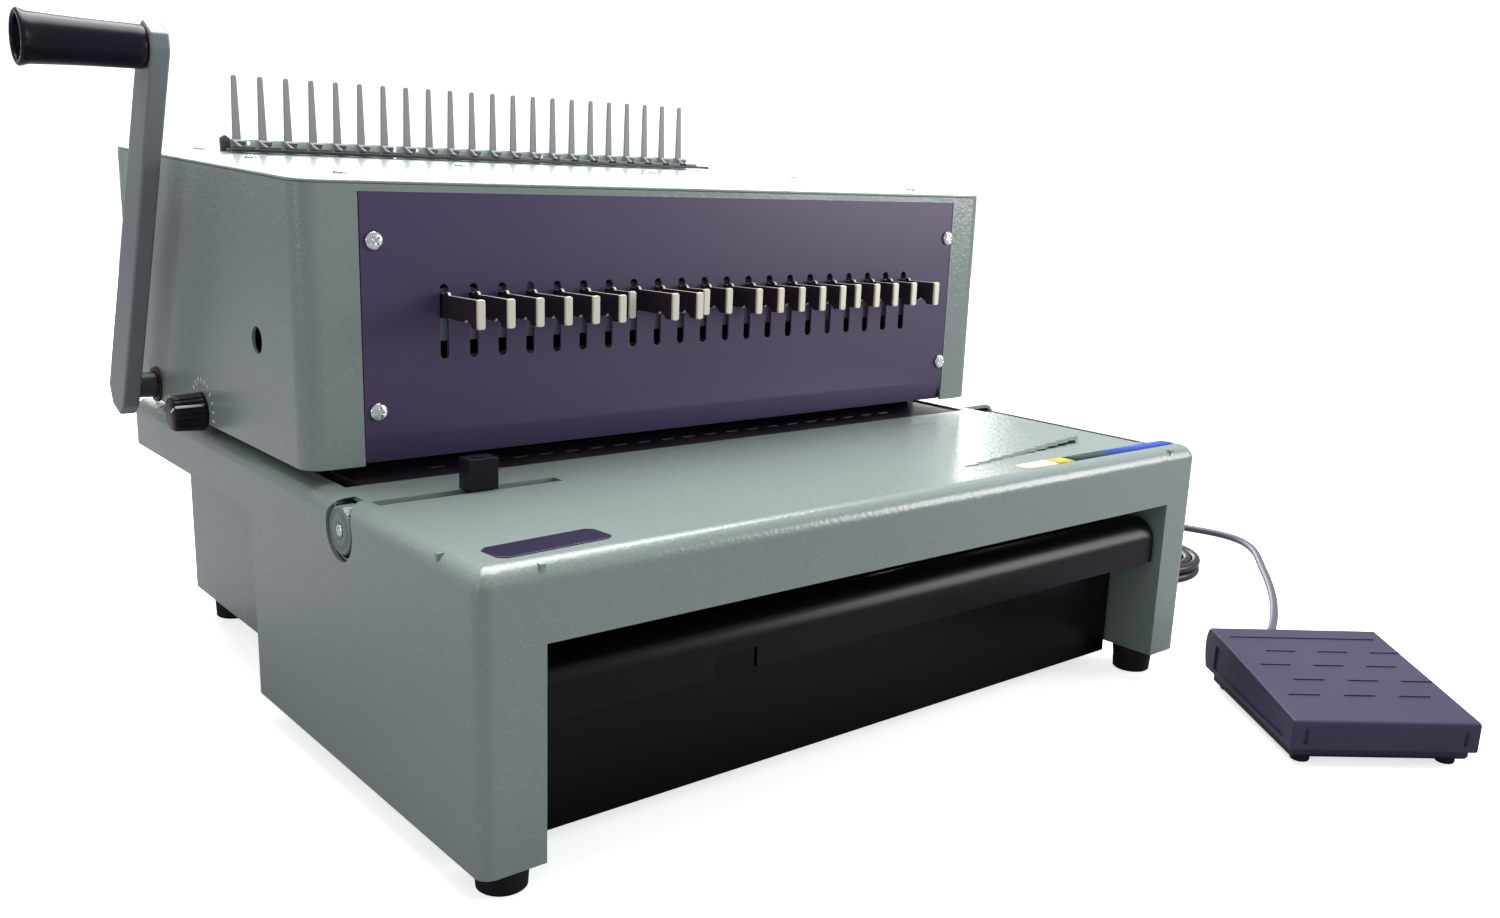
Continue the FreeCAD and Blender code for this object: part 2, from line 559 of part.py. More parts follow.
def make_electrics():
    board = box("board", ("-150", "110", "30"), ("150", "110", "1.6"))
    lumps = [box("board_relay", ("-140", "120", "31.6"), ("24", "18", "20")),
             box("board_transformer", ("-90", "130", "31.6"), ("45", "38", "36")),
             box("board_heatsink", ("-30", "150", "31.6"), ("8", "50", "26")),
             rod("board_capacitor", ("-125", "190", "31.6"), "Z", "9", "24")]
    posts = [rod(f"board_post_{i}", (str(x), str(y), "pedestal_low + 1.5"), "Z", "3", "12.5")
             for i, (x, y) in enumerate([(-145, 115), (-5, 115), (-145, 215), (-5, 215)])]
    keep("control_board", join("control_board", [board] + lumps + posts))
    gland = doc.addObject("Part::Cone", "gland_taper")
    gland.setExpression("Radius1", cells("mains_lead_wide/2 + 3.4"))
    gland.setExpression("Radius2", cells("mains_lead_wide/2 + 0.9"))
    gland.setExpression("Height", "24")
    stand(gland, "pedestal_right + 4", "mains_exit_y", "mains_exit_z", ALONG["X"])
    collar = rod("gland_collar", ("pedestal_right", "mains_exit_y", "mains_exit_z"), "X", "10", "4")
    keep("mains_gland", join("mains_gland", [collar, gland]))
    socket = rod("socket_body", ("pedestal_right", "pedal_exit_y", "pedal_exit_z"), "X", "8.5", "5")
    jack = rod("jack_body", ("pedestal_right + 5", "pedal_exit_y", "pedal_exit_z"), "X", "4.6", "17")
    keep("pedal_socket", socket)
    keep("pedal_jack", jack)
    frame = cut("switch_frame_body", box("switch_plate", ("pedestal_right", "94", "36"), ("2", "24", "32")),
                [box("switch_window", ("pedestal_right - 5", "98.5", "40.5"), ("10", "15", "23"))])
    keep("switch_frame", frame)
    rocker = new_body("rocker", "pedestal_right", "113", "52", "XZ")
    pad(rocker, outline(rocker, "rocker_outline", [
        ("-8", "-6"), ("-3", "-10.5"), ("5.2", "-10.5"), ("3", "0"), ("5.2", "10.5"), ("-3", "10.5"),
        ("-8", "6")]), "14")
    pin = rod("rocker_pin", ("pedestal_right - 2", "97", "52"), "Y", "1.2", "18")
    keep("power_rocker", join("power_rocker", [rocker, pin]))


# ------------------------------------------------------------------ comb opener

# reach of the front hooks, left to right, in runs of (how many, how far short of hook_reach)
HOOK_RUNS = [(6, 0), (1, 13), (2, -1.5), (2, 12), (5, 6), (4, 9.5), (1, 6)]


def make_front_hooks():
    hooks = []
    number = 0
    for count, short in HOOK_RUNS:
        for _ in range(count):
            x = f"({number} - (slot_count - 1)/2)*pitch - hook_thick/2"
            reach = f"hook_reach - ({short})"
            blade = new_body(f"hook_{number}", x, "0", "0", "YZ")
            pad(blade, outline(blade, f"hook_{number}_outline", [
                ("carrier_front", "hook_low"), ("carrier_front", "hook_low + hook_tall"),
                (f"-({reach})", "hook_low + hook_tall"), (f"-({reach})", "hook_low - 1.5"),
                (f"-({reach}) + 5", "hook_low - 1.5"), (f"-({reach}) + 7", "hook_low + 1.5"),
                (f"-({reach}) + 10", "hook_low")]), "hook_thick")
            flange = box(f"hook_{number}_flange", (x, f"-({reach}) - 1.5", "hook_low - 1.5"),
                         ("hook_flange", "1.5", "hook_tall + 1.5"))
            hooks.append(join(f"front_hook_{number}", [blade, flange]))
            number += 1
    keep("front_hooks", group("front_hooks", hooks))
    half = "(slot_count - 1)*pitch/2 + 10"
    bar = box("carrier_bar", (f"-({half})", "carrier_front", "hook_low - 10.4"),
              (f"2*({half})", "carrier_deep", "hook_tall + 12.4"))
    lugs = [box(f"carrier_lug_{i}", (f"{x}", "carrier_front", "hook_low + hook_tall + 2"), ("14", "carrier_deep", "18"))
            for i, x in enumerate(["-110", "96"])]
    keep("hook_carrier", join("hook_carrier", [bar] + lugs))


GROUPS = [("left", 0, 7), ("middle", 7, 7), ("right", 14, 8)]


def make_tines():
    for side, first, count in GROUPS:
        tines, hooks = [], []
        for number in range(first, first + count):
            x = f"({number} - (tine_count - 1)/2)*pitch"
            tine = new_body(f"tine_{number}", x, "tine_back + tine_thick", "0", "XZ")
            pad(tine, outline(tine, f"tine_{number}_outline", [
                ("-tine_root/2", "tine_low"), ("tine_root/2", "tine_low"),
                ("tine_tip/2", "tine_high - 1.2"), ("tine_tip/2 - 0.9", "tine_high"),
                ("-tine_tip/2 + 0.9", "tine_high"), ("-tine_tip/2", "tine_high - 1.2")]), "tine_thick")
            tines.append(tine)
            plate = new_body(f"opener_{number}", x, "0", "267.2")
            pad(plate, outline(plate, f"opener_{number}_outline", [
                ("-4.6", "212"), ("4.4", "212"), ("4.4", "217"), ("-0.5", "219.5"), ("4.4", "222"),
                ("4.4", "223.6"), ("-3", "223.6"), ("-4.6", "221.5"), ("-4.6", "218")]), "1.4")
            claw = new_body(f"claw_{number}", x, "223.6", "0", "XZ")
            pad(claw, outline(claw, f"claw_{number}_outline", [
                ("-4.4", "272"), ("-0.6", "268.4"), ("-3.4", "265.8"), ("4", "265.8"), ("2.8", "268.4"),
                ("4", "272")]), "1.2")
            hooks.append(join(f"opener_hook_{number}", [plate, claw]))
        keep(f"tines_{side}", group(f"tines_{side}", tines))
        keep(f"opener_hooks_{side}", group(f"opener_hooks_{side}", hooks))
    strip = box("tine_strip", ("-160", "tine_back + tine_thick", "255"), ("320", "2", "17.4"))
    keep("tine_bar", strip)
    rail = box("opener_strip", ("-160", "206", "265.6"), ("320", "10", "1.6"))
    keep("opener_rail", rail)


# ------------------------------------------------------------------ hand controls

# the lever's own frame: pivot at the origin, arm up +Z, leaning forwards by lever_lean
def make_lever():
    lean = Rotation(Vector(1, 0, 0), SIZES["lever_lean"])
    arm = new_body("lever_plate", "arm_side", "lever_back", "lever_up", "YZ", lean.multiply(LIE["YZ"]))
    pad(arm, outline(arm, "arm_outline", [
        ("-arm_wide/2", "-4"), ("-arm_wide/2 + 4", "-12"), ("4", "-14"), ("arm_wide/2", "-7"),
        ("arm_wide/2", "10"), ("arm_top_wide/2", "arm_long + 4"), ("arm_top_wide/2 - 4", "arm_long + 10"),
        ("-arm_top_wide/2 + 4", "arm_long + 10"), ("-arm_top_wide/2", "arm_long + 4"),
        ("-arm_wide/2", "20")]), "arm_thick")
    keep("lever_arm", arm)
    turn = math.radians(SIZES["lever_lean"])
    top_y, top_z = -SIZES["arm_long"] * math.sin(turn), SIZES["arm_long"] * math.cos(turn)
    grip = doc.addObject("Part::Cone", "grip_taper")
    grip.setExpression("Radius1", cells("grip_root"))
    grip.setExpression("Radius2", cells("grip_bore"))
    grip.setExpression("Height", cells("grip_long"))
    place = ("arm_side", f"lever_back + {top_y:.3f}", f"lever_up + {top_z:.3f}")
    stand(grip, *place, Rotation(Vector(0, 1, 0), -90))
    hollow = rod("grip_hollow", ("arm_side - grip_long - 1", place[1], place[2]), "X", "grip_bore - 2.8", "20")
    keep("lever_grip", cut("lever_grip", grip, [hollow]))
    shaft = rod("lever_spindle", ("arm_side + arm_thick", "lever_back", "lever_up"), "X",
                "lever_shaft_bore", "frame_in + frame_thick + 2 - arm_side - arm_thick")
    keep("lever_shaft", shaft)


def make_controls():
    knob = doc.addObject("Part::Cone", "knob_body")
    knob.setExpression("Radius1", cells("knob_bore"))
    knob.setExpression("Radius2", cells("knob_bore - 0.8"))
    knob.setExpression("Height", cells("knob_long"))
    stand(knob, "-head_wide/2 - 0.6", "knob_back", "knob_up", Rotation(Vector(0, 1, 0), -90))
    stem = rod("knob_stem", ("-head_wide/2 - 1", "knob_back", "knob_up"), "X", "3", "9")
    keep("size_knob", join("size_knob", [knob, stem]))
    wheel = cut("wheel_disc", rod("wheel_blank", ("base_left + 0.3", "wheel_back", "wheel_up"), "X",
                                  "wheel_bore", "wheel_wide"),
                [rod("wheel_bore_tool", ("base_left - 2", "wheel_back", "wheel_up"), "X", "2.06", "20")])
    keep("margin_wheel", wheel)
    block = box("stop_block", ("stop_mid - stop_wide/2", "guide_slot_front", "bed_top + 0.3"),
                ("stop_wide", "9", "13.7"))
    neck = box("stop_neck", ("stop_mid - 5", "guide_slot_front + 0.6", "bed_top - 10.6"),
               ("10", "guide_slot_deep - 1.2", "12"))
    keep("edge_guide", join("edge_guide", [block, neck]))


# ------------------------------------------------------------------ chip tray

def make_tray():
    wide = "tray_right - tray_left"
    outer = box("tray_outer", ("tray_left", "tray_front", "tray_low"),
                (wide, "tray_back - tray_front", "tray_high - tray_low"))
    inner = box("tray_inner", ("tray_left + tray_skin", "tray_front + tray_skin", "tray_low + tray_skin"),
                (f"{wide} - 2*tray_skin", "tray_back - tray_front - 2*tray_skin", "tray_high"))
    pan = cut("tray_pan", outer, [inner])
    tube = rod("curl_outer", ("tray_left", "curl_mid", "curl_up"), "X", "curl_bore", wide)
    core = rod("curl_inner", ("tray_left + tray_skin", "curl_mid", "curl_up"), "X", "curl_bore - 2.4",
               f"{wide} - 2*tray_skin")
    below = box("curl_below", ("tray_left - 1", "curl_mid - 20", "curl_up - 30"), (f"{wide} + 2", "40", "30"))
    curl = cut("curl_hood", tube, [core, below])
    lip = box("curl_lip", ("tray_left", "curl_mid - curl_bore", "curl_up - 11"), (wide, "2.4", "11.2"))
    web = box("curl_web", ("tray_left", "curl_mid + curl_bore - 2.4", "curl_up - 6"), (wide, "3.4", "6.2"))
    notch = box("curl_notch", ("-99", "curl_mid - 20", "curl_up - 14"), ("22", "12", "12"))
    keep("chip_tray", cut("chip_tray", join("chip_tray_body", [pan, curl, lip, web]), [notch]))


# ------------------------------------------------------------------ foot pedal

# a point of the pedal's own frame (x right, y to its back) in the machine's frame
def on_pedal(x, y):
    turn = math.radians(SIZES["pedal_turn"])
    return (SIZES["pedal_x"] + x * math.cos(turn) - y * math.sin(turn),
            SIZES["pedal_y"] + x * math.sin(turn) + y * math.cos(turn))


def make_pedal():
    turn = Rotation(Vector(0, 0, 1), SIZES["pedal_turn"])
    side = turn.multiply(LIE["YZ"])
    left = on_pedal(-SIZES["pedal_wide"] / 2, 0)
    back, front, skin = "pedal_long/2", "-pedal_long/2", "pedal_skin"
    wedge = new_body("tread_wedge", f"{left[0]:.3f}", f"{left[1]:.3f}", "0", "YZ", side)
    pad(wedge, outline(wedge, "tread_outline", [
        (front, "pedal_low"), (front, "pedal_front_high - 2"), (f"{front} + 2", "pedal_front_high"),
        (f"{back} - 2", "pedal_back_high"), (f"{back} + 2", "pedal_back_high - 5"),
        (f"{back} + 3", "pedal_back_high - 12"), (f"{back} + 1", "pedal_low + 4"),
        (f"{back} - 2", "pedal_low")]), "pedal_wide")
    inside = on_pedal(-SIZES["pedal_wide"] / 2 + SIZES["pedal_skin"], 0)
    hollow = new_body("tread_hollow", f"{inside[0]:.3f}", f"{inside[1]:.3f}", "0", "YZ", side)
    pad(hollow, outline(hollow, "hollow_outline", [
        (f"{front} + {skin}", "-1"), (f"{front} + {skin}", f"pedal_front_high - {skin}"),
        (f"{back} - 2.5", f"pedal_back_high - {skin}"), (f"{back} + 0.4", "pedal_back_high - 12"),
        (f"{back} - 2", "pedal_low + 3"), (f"{back} - 4.5", "-1")]), f"pedal_wide - 2*{skin}")
    mouth_at = on_pedal(-10, SIZES["pedal_long"] / 2 - 10)
    mouth = box("lead_mouth", (f"{mouth_at[0]:.3f}", f"{mouth_at[1]:.3f}", "0"), ("10", "20", "19"))
    stand(mouth, f"{mouth_at[0]:.3f}", f"{mouth_at[1]:.3f}", "0", turn)
    across = turn.multiply(ALONG["X"])
    pin_at = on_pedal(-SIZES["pedal_wide"] / 2 - 1, -50.5)
    bore = rod("hinge_bore", (f"{pin_at[0]:.3f}", f"{pin_at[1]:.3f}", "11"), "X", "1.45", "pedal_wide + 2")
    stand(bore, f"{pin_at[0]:.3f}", f"{pin_at[1]:.3f}", "11", across)
    keep("pedal_tread", cut("pedal_tread", wedge, [hollow, mouth, bore]))
    inner = on_pedal(-SIZES["pedal_wide"] / 2 + 3, 0)
    base = new_body("pedal_pan", f"{inner[0]:.3f}", f"{inner[1]:.3f}", "0", "YZ", side)
    pad(base, outline(base, "pan_outline", [
        (f"{front} + 5", "3.5"), (f"{front} + 3", "5.5"), (f"{front} + 3", "13"), (f"{front} + 6", "13"),
        (f"{front} + 6", "7"), (f"{back} - 9", "7"), (f"{back} - 9", "12"), (f"{back} - 7", "12"),
        (f"{back} - 7", "3.5")]), "pedal_wide - 6")
    stubs = []
    for side, x in (("left", -SIZES["pedal_wide"] / 2), ("right", SIZES["pedal_wide"] / 2 - 4)):
        stub_at = on_pedal(x, -50.5)
        stub = rod(f"hinge_stub_{side}", (f"{stub_at[0]:.3f}", f"{stub_at[1]:.3f}", "11"), "X", "1.4", "4")
        stubs.append(stand(stub, f"{stub_at[0]:.3f}", f"{stub_at[1]:.3f}", "11", across))
    keep("pedal_base", join("pedal_base", [base] + stubs))
    feet = []
    for number, (x, y) in enumerate([(-36, -45), (36, -45), (-36, 43), (36, 43)]):
        spot = on_pedal(x, y)
        feet.append(rod(f"pedal_foot_{number}", (f"{spot[0]:.3f}", f"{spot[1]:.3f}", "0"), "Z", "4.5", "3.5"))
    keep("pedal_feet", group("pedal_feet", feet))
    spot = on_pedal(-12, 20)
    switch = box("switch_body", (f"{spot[0]:.3f}", f"{spot[1]:.3f}", "7"), ("20", "9", "10"))
    keep("pedal_switch", switch)


# ------------------------------------------------------------------ leads

# route that isn't coiled: runs joined by tangent arcs, radius 0.45 of the shorter run over tan(half turn)
def route_wire(points, name):
    points = [Vector(*p) for p in points]
    edges, radii = [], []
    last = points[0]
    for before, corner, after in zip(points, points[1:], points[2:]):
        into, out = (corner - before), (after - corner)
        half = into.getAngle(out) / 2
        reach = 0.45 * min(into.Length, out.Length)
        radii.append(reach / math.tan(half))
        into.normalize()
        out.normalize()
        start, end = corner - into * reach, corner + out * reach
        middle_way = (out - into)
        middle_way.normalize()
        sagitta = reach * math.tan(half / 2) if half > 0 else 0
        chord_middle = (start + end) * 0.5
        to_corner = corner - chord_middle
        arc_point = chord_middle + to_corner * (sagitta / (reach * math.sin(half) + 1e-9)) * math.cos(half)
        bulge = radii[-1] * (1 / math.cos(half) - 1)
        arc_point = corner - (corner - chord_middle).normalize() * bulge
        edges.append(Part.LineSegment(last, start).toShape())
        edges.append(Part.Arc(start, arc_point, end).toShape())
        last = end
    edges.append(Part.LineSegment(last, points[-1]).toShape())
    print(name, "radii", [round(radius, 1) for radius in radii])
    return Part.Wire(edges)


def make_tube(label, points, wide):
    wire = route_wire(points, label)
    first = wire.Edges[0]
    start = first.valueAt(first.FirstParameter)
    circle = Part.Wire([Part.makeCircle(wide / 2, start, first.tangentAt(first.FirstParameter))])
    tube = wire.makePipeShell([circle], True, False)
    print(label, "length", round(wire.Length, 1), "volume ratio",
          round(tube.Volume / (wire.Length * math.pi * wide * wide / 4), 4))
    keep(label, solid(label, tube))


def make_coil(label, x, y, outer, inner, tall):
    ring = Part.makeCylinder(outer, tall).cut(Part.makeCylinder(inner, tall))
    soft = ring.makeFillet(min(tall, outer - inner) * 0.3, ring.Edges)
    keep(label, solid(label, soft, str(x), str(y), "0"))


PEDAL_LEAD_OUT = [(227, 205, 40), (240, 205, 39), (253, 206, 34), (264, 208, 26), (275, 211, 17),
                  (286, 214.8, 8.5), (295, 218, 3.8), (304, 221.3, 2.6)]
PEDAL_LEAD_ON = [(344.6, 213, 7.2), (372, 193, 4.4), (402, 167, 2.6), (432, 137, 2.6), (460, 104, 2.6),
                 (486, 72, 2.6), (505, 44, 2.6), (515, 18, 2.6), (519, -4, 2.6), (513, -24, 2.6),
                 (494, -44, 2.6), (466, -64, 2.6), (434, -88, 2.6), (400, -111, 2.6), (366, -131, 2.6),
                 (334, -147, 3), (308, -157, 4.5), (286, -168, 7), (270, -180, 9), (258.1, -195.5, 9)]
MAINS_LEAD = [(233, 140, 45), (250, 140, 44), (266, 138, 38), (281, 134, 28), (296, 128, 17), (311, 119, 8),
              (325, 106, 3.2), (336, 90, 3.1), (341.5, 72, 3.1), (343.4, 54, 3.1), (344, 38, 3.1),
              (344.6, 24, 3.1)]


def make_leads():
    make_tube("pedal_lead_out", PEDAL_LEAD_OUT, SIZES["pedal_lead_wide"])
    make_coil("pedal_lead_coil", 318, 190, 36.8, 16.2, 11)
    make_tube("pedal_lead_on", PEDAL_LEAD_ON, SIZES["pedal_lead_wide"])
    make_tube("mains_lead", MAINS_LEAD, SIZES["mains_lead_wide"])
    make_coil("mains_lead_coil", 389, -6, 48.5, 23.4, 12.6)
    body = box("plug_body", ("422.2", "29", "0"), ("24", "34", "20"))
    pins = [box(f"plug_pin_{i}", (f"{427.2 + i * 11}", "62", "7"), ("3", "18", "6")) for i in range(2)]
    keep("mains_plug", join("mains_plug", [body] + pins))


make_base_cover()
make_ledge_plate()
make_bed_trim()
make_pedestal()
make_feet()
make_head_cover()
make_top_cover()
make_front_panel()
make_screws()
make_frames()
make_punch()
make_drive()
make_electrics()
make_front_hooks()
make_tines()
make_lever()
make_controls()
make_tray()
make_pedal()
make_leads()
doc.recompute()

for item in doc.Objects:
    if "Invalid" in item.State or "Error" in item.State:
        raise RuntimeError(f"{item.Name} did not build: {item.State}")

os.makedirs("parts", exist_ok=True)
whole = FreeCAD.BoundBox()
for item in pieces:
    shape = item.Shape
    if shape.isNull() or not shape.isValid() or not shape.Solids:
        raise RuntimeError(f"{item.Label} has no valid solid")
    shape.exportStep(f"parts/{item.Label}.step")
    if "lead" not in item.Label and item.Label != "mains_plug":
        whole.add(shape.BoundBox)
print(len(pieces), "nodes; machine and pedal box", whole)
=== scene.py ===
import json
import math
import bmesh
import bpy
from mathutils import Matrix, Vector

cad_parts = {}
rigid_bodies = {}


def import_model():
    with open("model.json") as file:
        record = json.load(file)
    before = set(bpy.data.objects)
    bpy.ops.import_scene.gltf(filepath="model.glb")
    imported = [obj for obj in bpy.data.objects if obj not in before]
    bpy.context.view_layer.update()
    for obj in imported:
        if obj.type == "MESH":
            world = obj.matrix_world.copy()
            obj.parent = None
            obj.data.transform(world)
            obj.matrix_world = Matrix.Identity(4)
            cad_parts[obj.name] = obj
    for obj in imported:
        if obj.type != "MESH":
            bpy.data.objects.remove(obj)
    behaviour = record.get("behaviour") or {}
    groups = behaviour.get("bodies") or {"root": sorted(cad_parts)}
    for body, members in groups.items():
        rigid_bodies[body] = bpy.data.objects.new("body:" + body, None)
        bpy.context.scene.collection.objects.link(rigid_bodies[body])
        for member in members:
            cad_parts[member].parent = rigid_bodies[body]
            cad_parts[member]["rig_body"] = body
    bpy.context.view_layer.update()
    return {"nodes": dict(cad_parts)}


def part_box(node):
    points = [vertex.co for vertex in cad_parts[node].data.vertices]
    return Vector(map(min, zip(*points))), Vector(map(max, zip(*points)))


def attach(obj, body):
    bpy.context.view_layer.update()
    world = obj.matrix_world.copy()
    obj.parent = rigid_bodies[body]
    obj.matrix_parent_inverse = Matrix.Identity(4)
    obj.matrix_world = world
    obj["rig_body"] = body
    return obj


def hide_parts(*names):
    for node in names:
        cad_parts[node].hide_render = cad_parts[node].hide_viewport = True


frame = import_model()
nodes = frame["nodes"]
print("frame loaded:", len(nodes), "nodes")

# the machine's own frame: x = 0 in the middle of the slots, y = 0 on the front panel, floor at z = 0
headLow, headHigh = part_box("head_cover")
machineX = (headLow.x + headHigh.x) / 2
machineY = headLow.y
pitch = 14.2875  # comb pitch in millimetres, 9/16 inch
pitchStep = (pitch / 1000, 0, 0)


# a point given in the machine's own millimetres
def spot(x, y, z):
    return Vector((machineX + x / 1000, machineY + y / 1000, z / 1000))


def link(tree, source, target):
    tree.links.new(source, target)


grainRule = {"bump": 0.6, "fineDetail": 2, "slowDetail": 3, "speckDetail": 2, "driftEnds": (0.3, 0.7),
             "speckEnds": (0.6, 0.72), "glossDrift": 0.05, "leastRoughness": 0.02, "coatRoughness": 0.15}
colourMix = {"first": 6, "second": 7, "out": 2}  # a Mix node's sockets when it mixes colours


def makeNoise(tree, where, scale, detail):
    noise = tree.nodes.new("ShaderNodeTexNoise")
    noise.inputs["Scale"].default_value = scale
    noise.inputs["Detail"].default_value = detail
    link(tree, where, noise.inputs["Vector"])
    return noise


# paint, plastic or metal with a fine grain, a slow drift of colour and uneven gloss
def makeFinish(name, colour, roughness, metallic=0.0, grain=(900, 0.00005), drift=(6, 0.06),
               specular=0.5, coat=0.0, stretch=(1, 1, 1), speck=None):
    material = bpy.data.materials.new(name)
    material.use_nodes = True
    tree = material.node_tree
    shader = tree.nodes["Principled BSDF"]
    shader.inputs["Metallic"].default_value = metallic
    shader.inputs["Specular IOR Level"].default_value = specular
    shader.inputs["Coat Weight"].default_value = coat
    shader.inputs["Coat Roughness"].default_value = grainRule["coatRoughness"]
    where = tree.nodes.new("ShaderNodeTexCoord")
    mapping = tree.nodes.new("ShaderNodeMapping")
    mapping.inputs["Scale"].default_value = stretch
    link(tree, where.outputs["Object"], mapping.inputs["Vector"])
    fine = makeNoise(tree, mapping.outputs["Vector"], grain[0], grainRule["fineDetail"])
    bump = tree.nodes.new("ShaderNodeBump")
    bump.inputs["Strength"].default_value = grainRule["bump"]
    bump.inputs["Distance"].default_value = grain[1]
    link(tree, fine.outputs["Fac"], bump.inputs["Height"])
    link(tree, bump.outputs["Normal"], shader.inputs["Normal"])
    slow = makeNoise(tree, where.outputs["Object"], drift[0], grainRule["slowDetail"])
    ramp = tree.nodes.new("ShaderNodeValToRGB")
    for end, position, change in zip(ramp.color_ramp.elements, grainRule["driftEnds"], (-drift[1], drift[1])):
        end.position = position
        end.color = (*[min(1, channel * (1 + change)) for channel in colour], 1)
    link(tree, slow.outputs["Fac"], ramp.inputs["Fac"])
    tint = ramp.outputs["Color"]
    if speck:
        tint = addSpecks(tree, tint, where, *speck)
    link(tree, tint, shader.inputs["Base Color"])
    gloss = tree.nodes.new("ShaderNodeMapRange")
    spread = grainRule["glossDrift"]
    gloss.inputs["To Min"].default_value = max(grainRule["leastRoughness"], roughness - spread)
    gloss.inputs["To Max"].default_value = roughness + spread
    link(tree, slow.outputs["Fac"], gloss.inputs["Value"])
    link(tree, gloss.outputs["Result"], shader.inputs["Roughness"])
    return material


# paler specks in the paint
def addSpecks(tree, tint, where, scale, colour):
    dots = makeNoise(tree, where.outputs["Object"], scale, grainRule["speckDetail"])
    pick = tree.nodes.new("ShaderNodeMapRange")
    pick.inputs["From Min"].default_value, pick.inputs["From Max"].default_value = grainRule["speckEnds"]
    link(tree, dots.outputs["Fac"], pick.inputs["Value"])
    mix = tree.nodes.new("ShaderNodeMix")
    mix.data_type = "RGBA"
    mix.inputs[colourMix["second"]].default_value = (*colour, 1)
    link(tree, pick.outputs["Result"], mix.inputs["Factor"])
    link(tree, tint, mix.inputs[colourMix["first"]])
    return mix.outputs[colourMix["out"]]


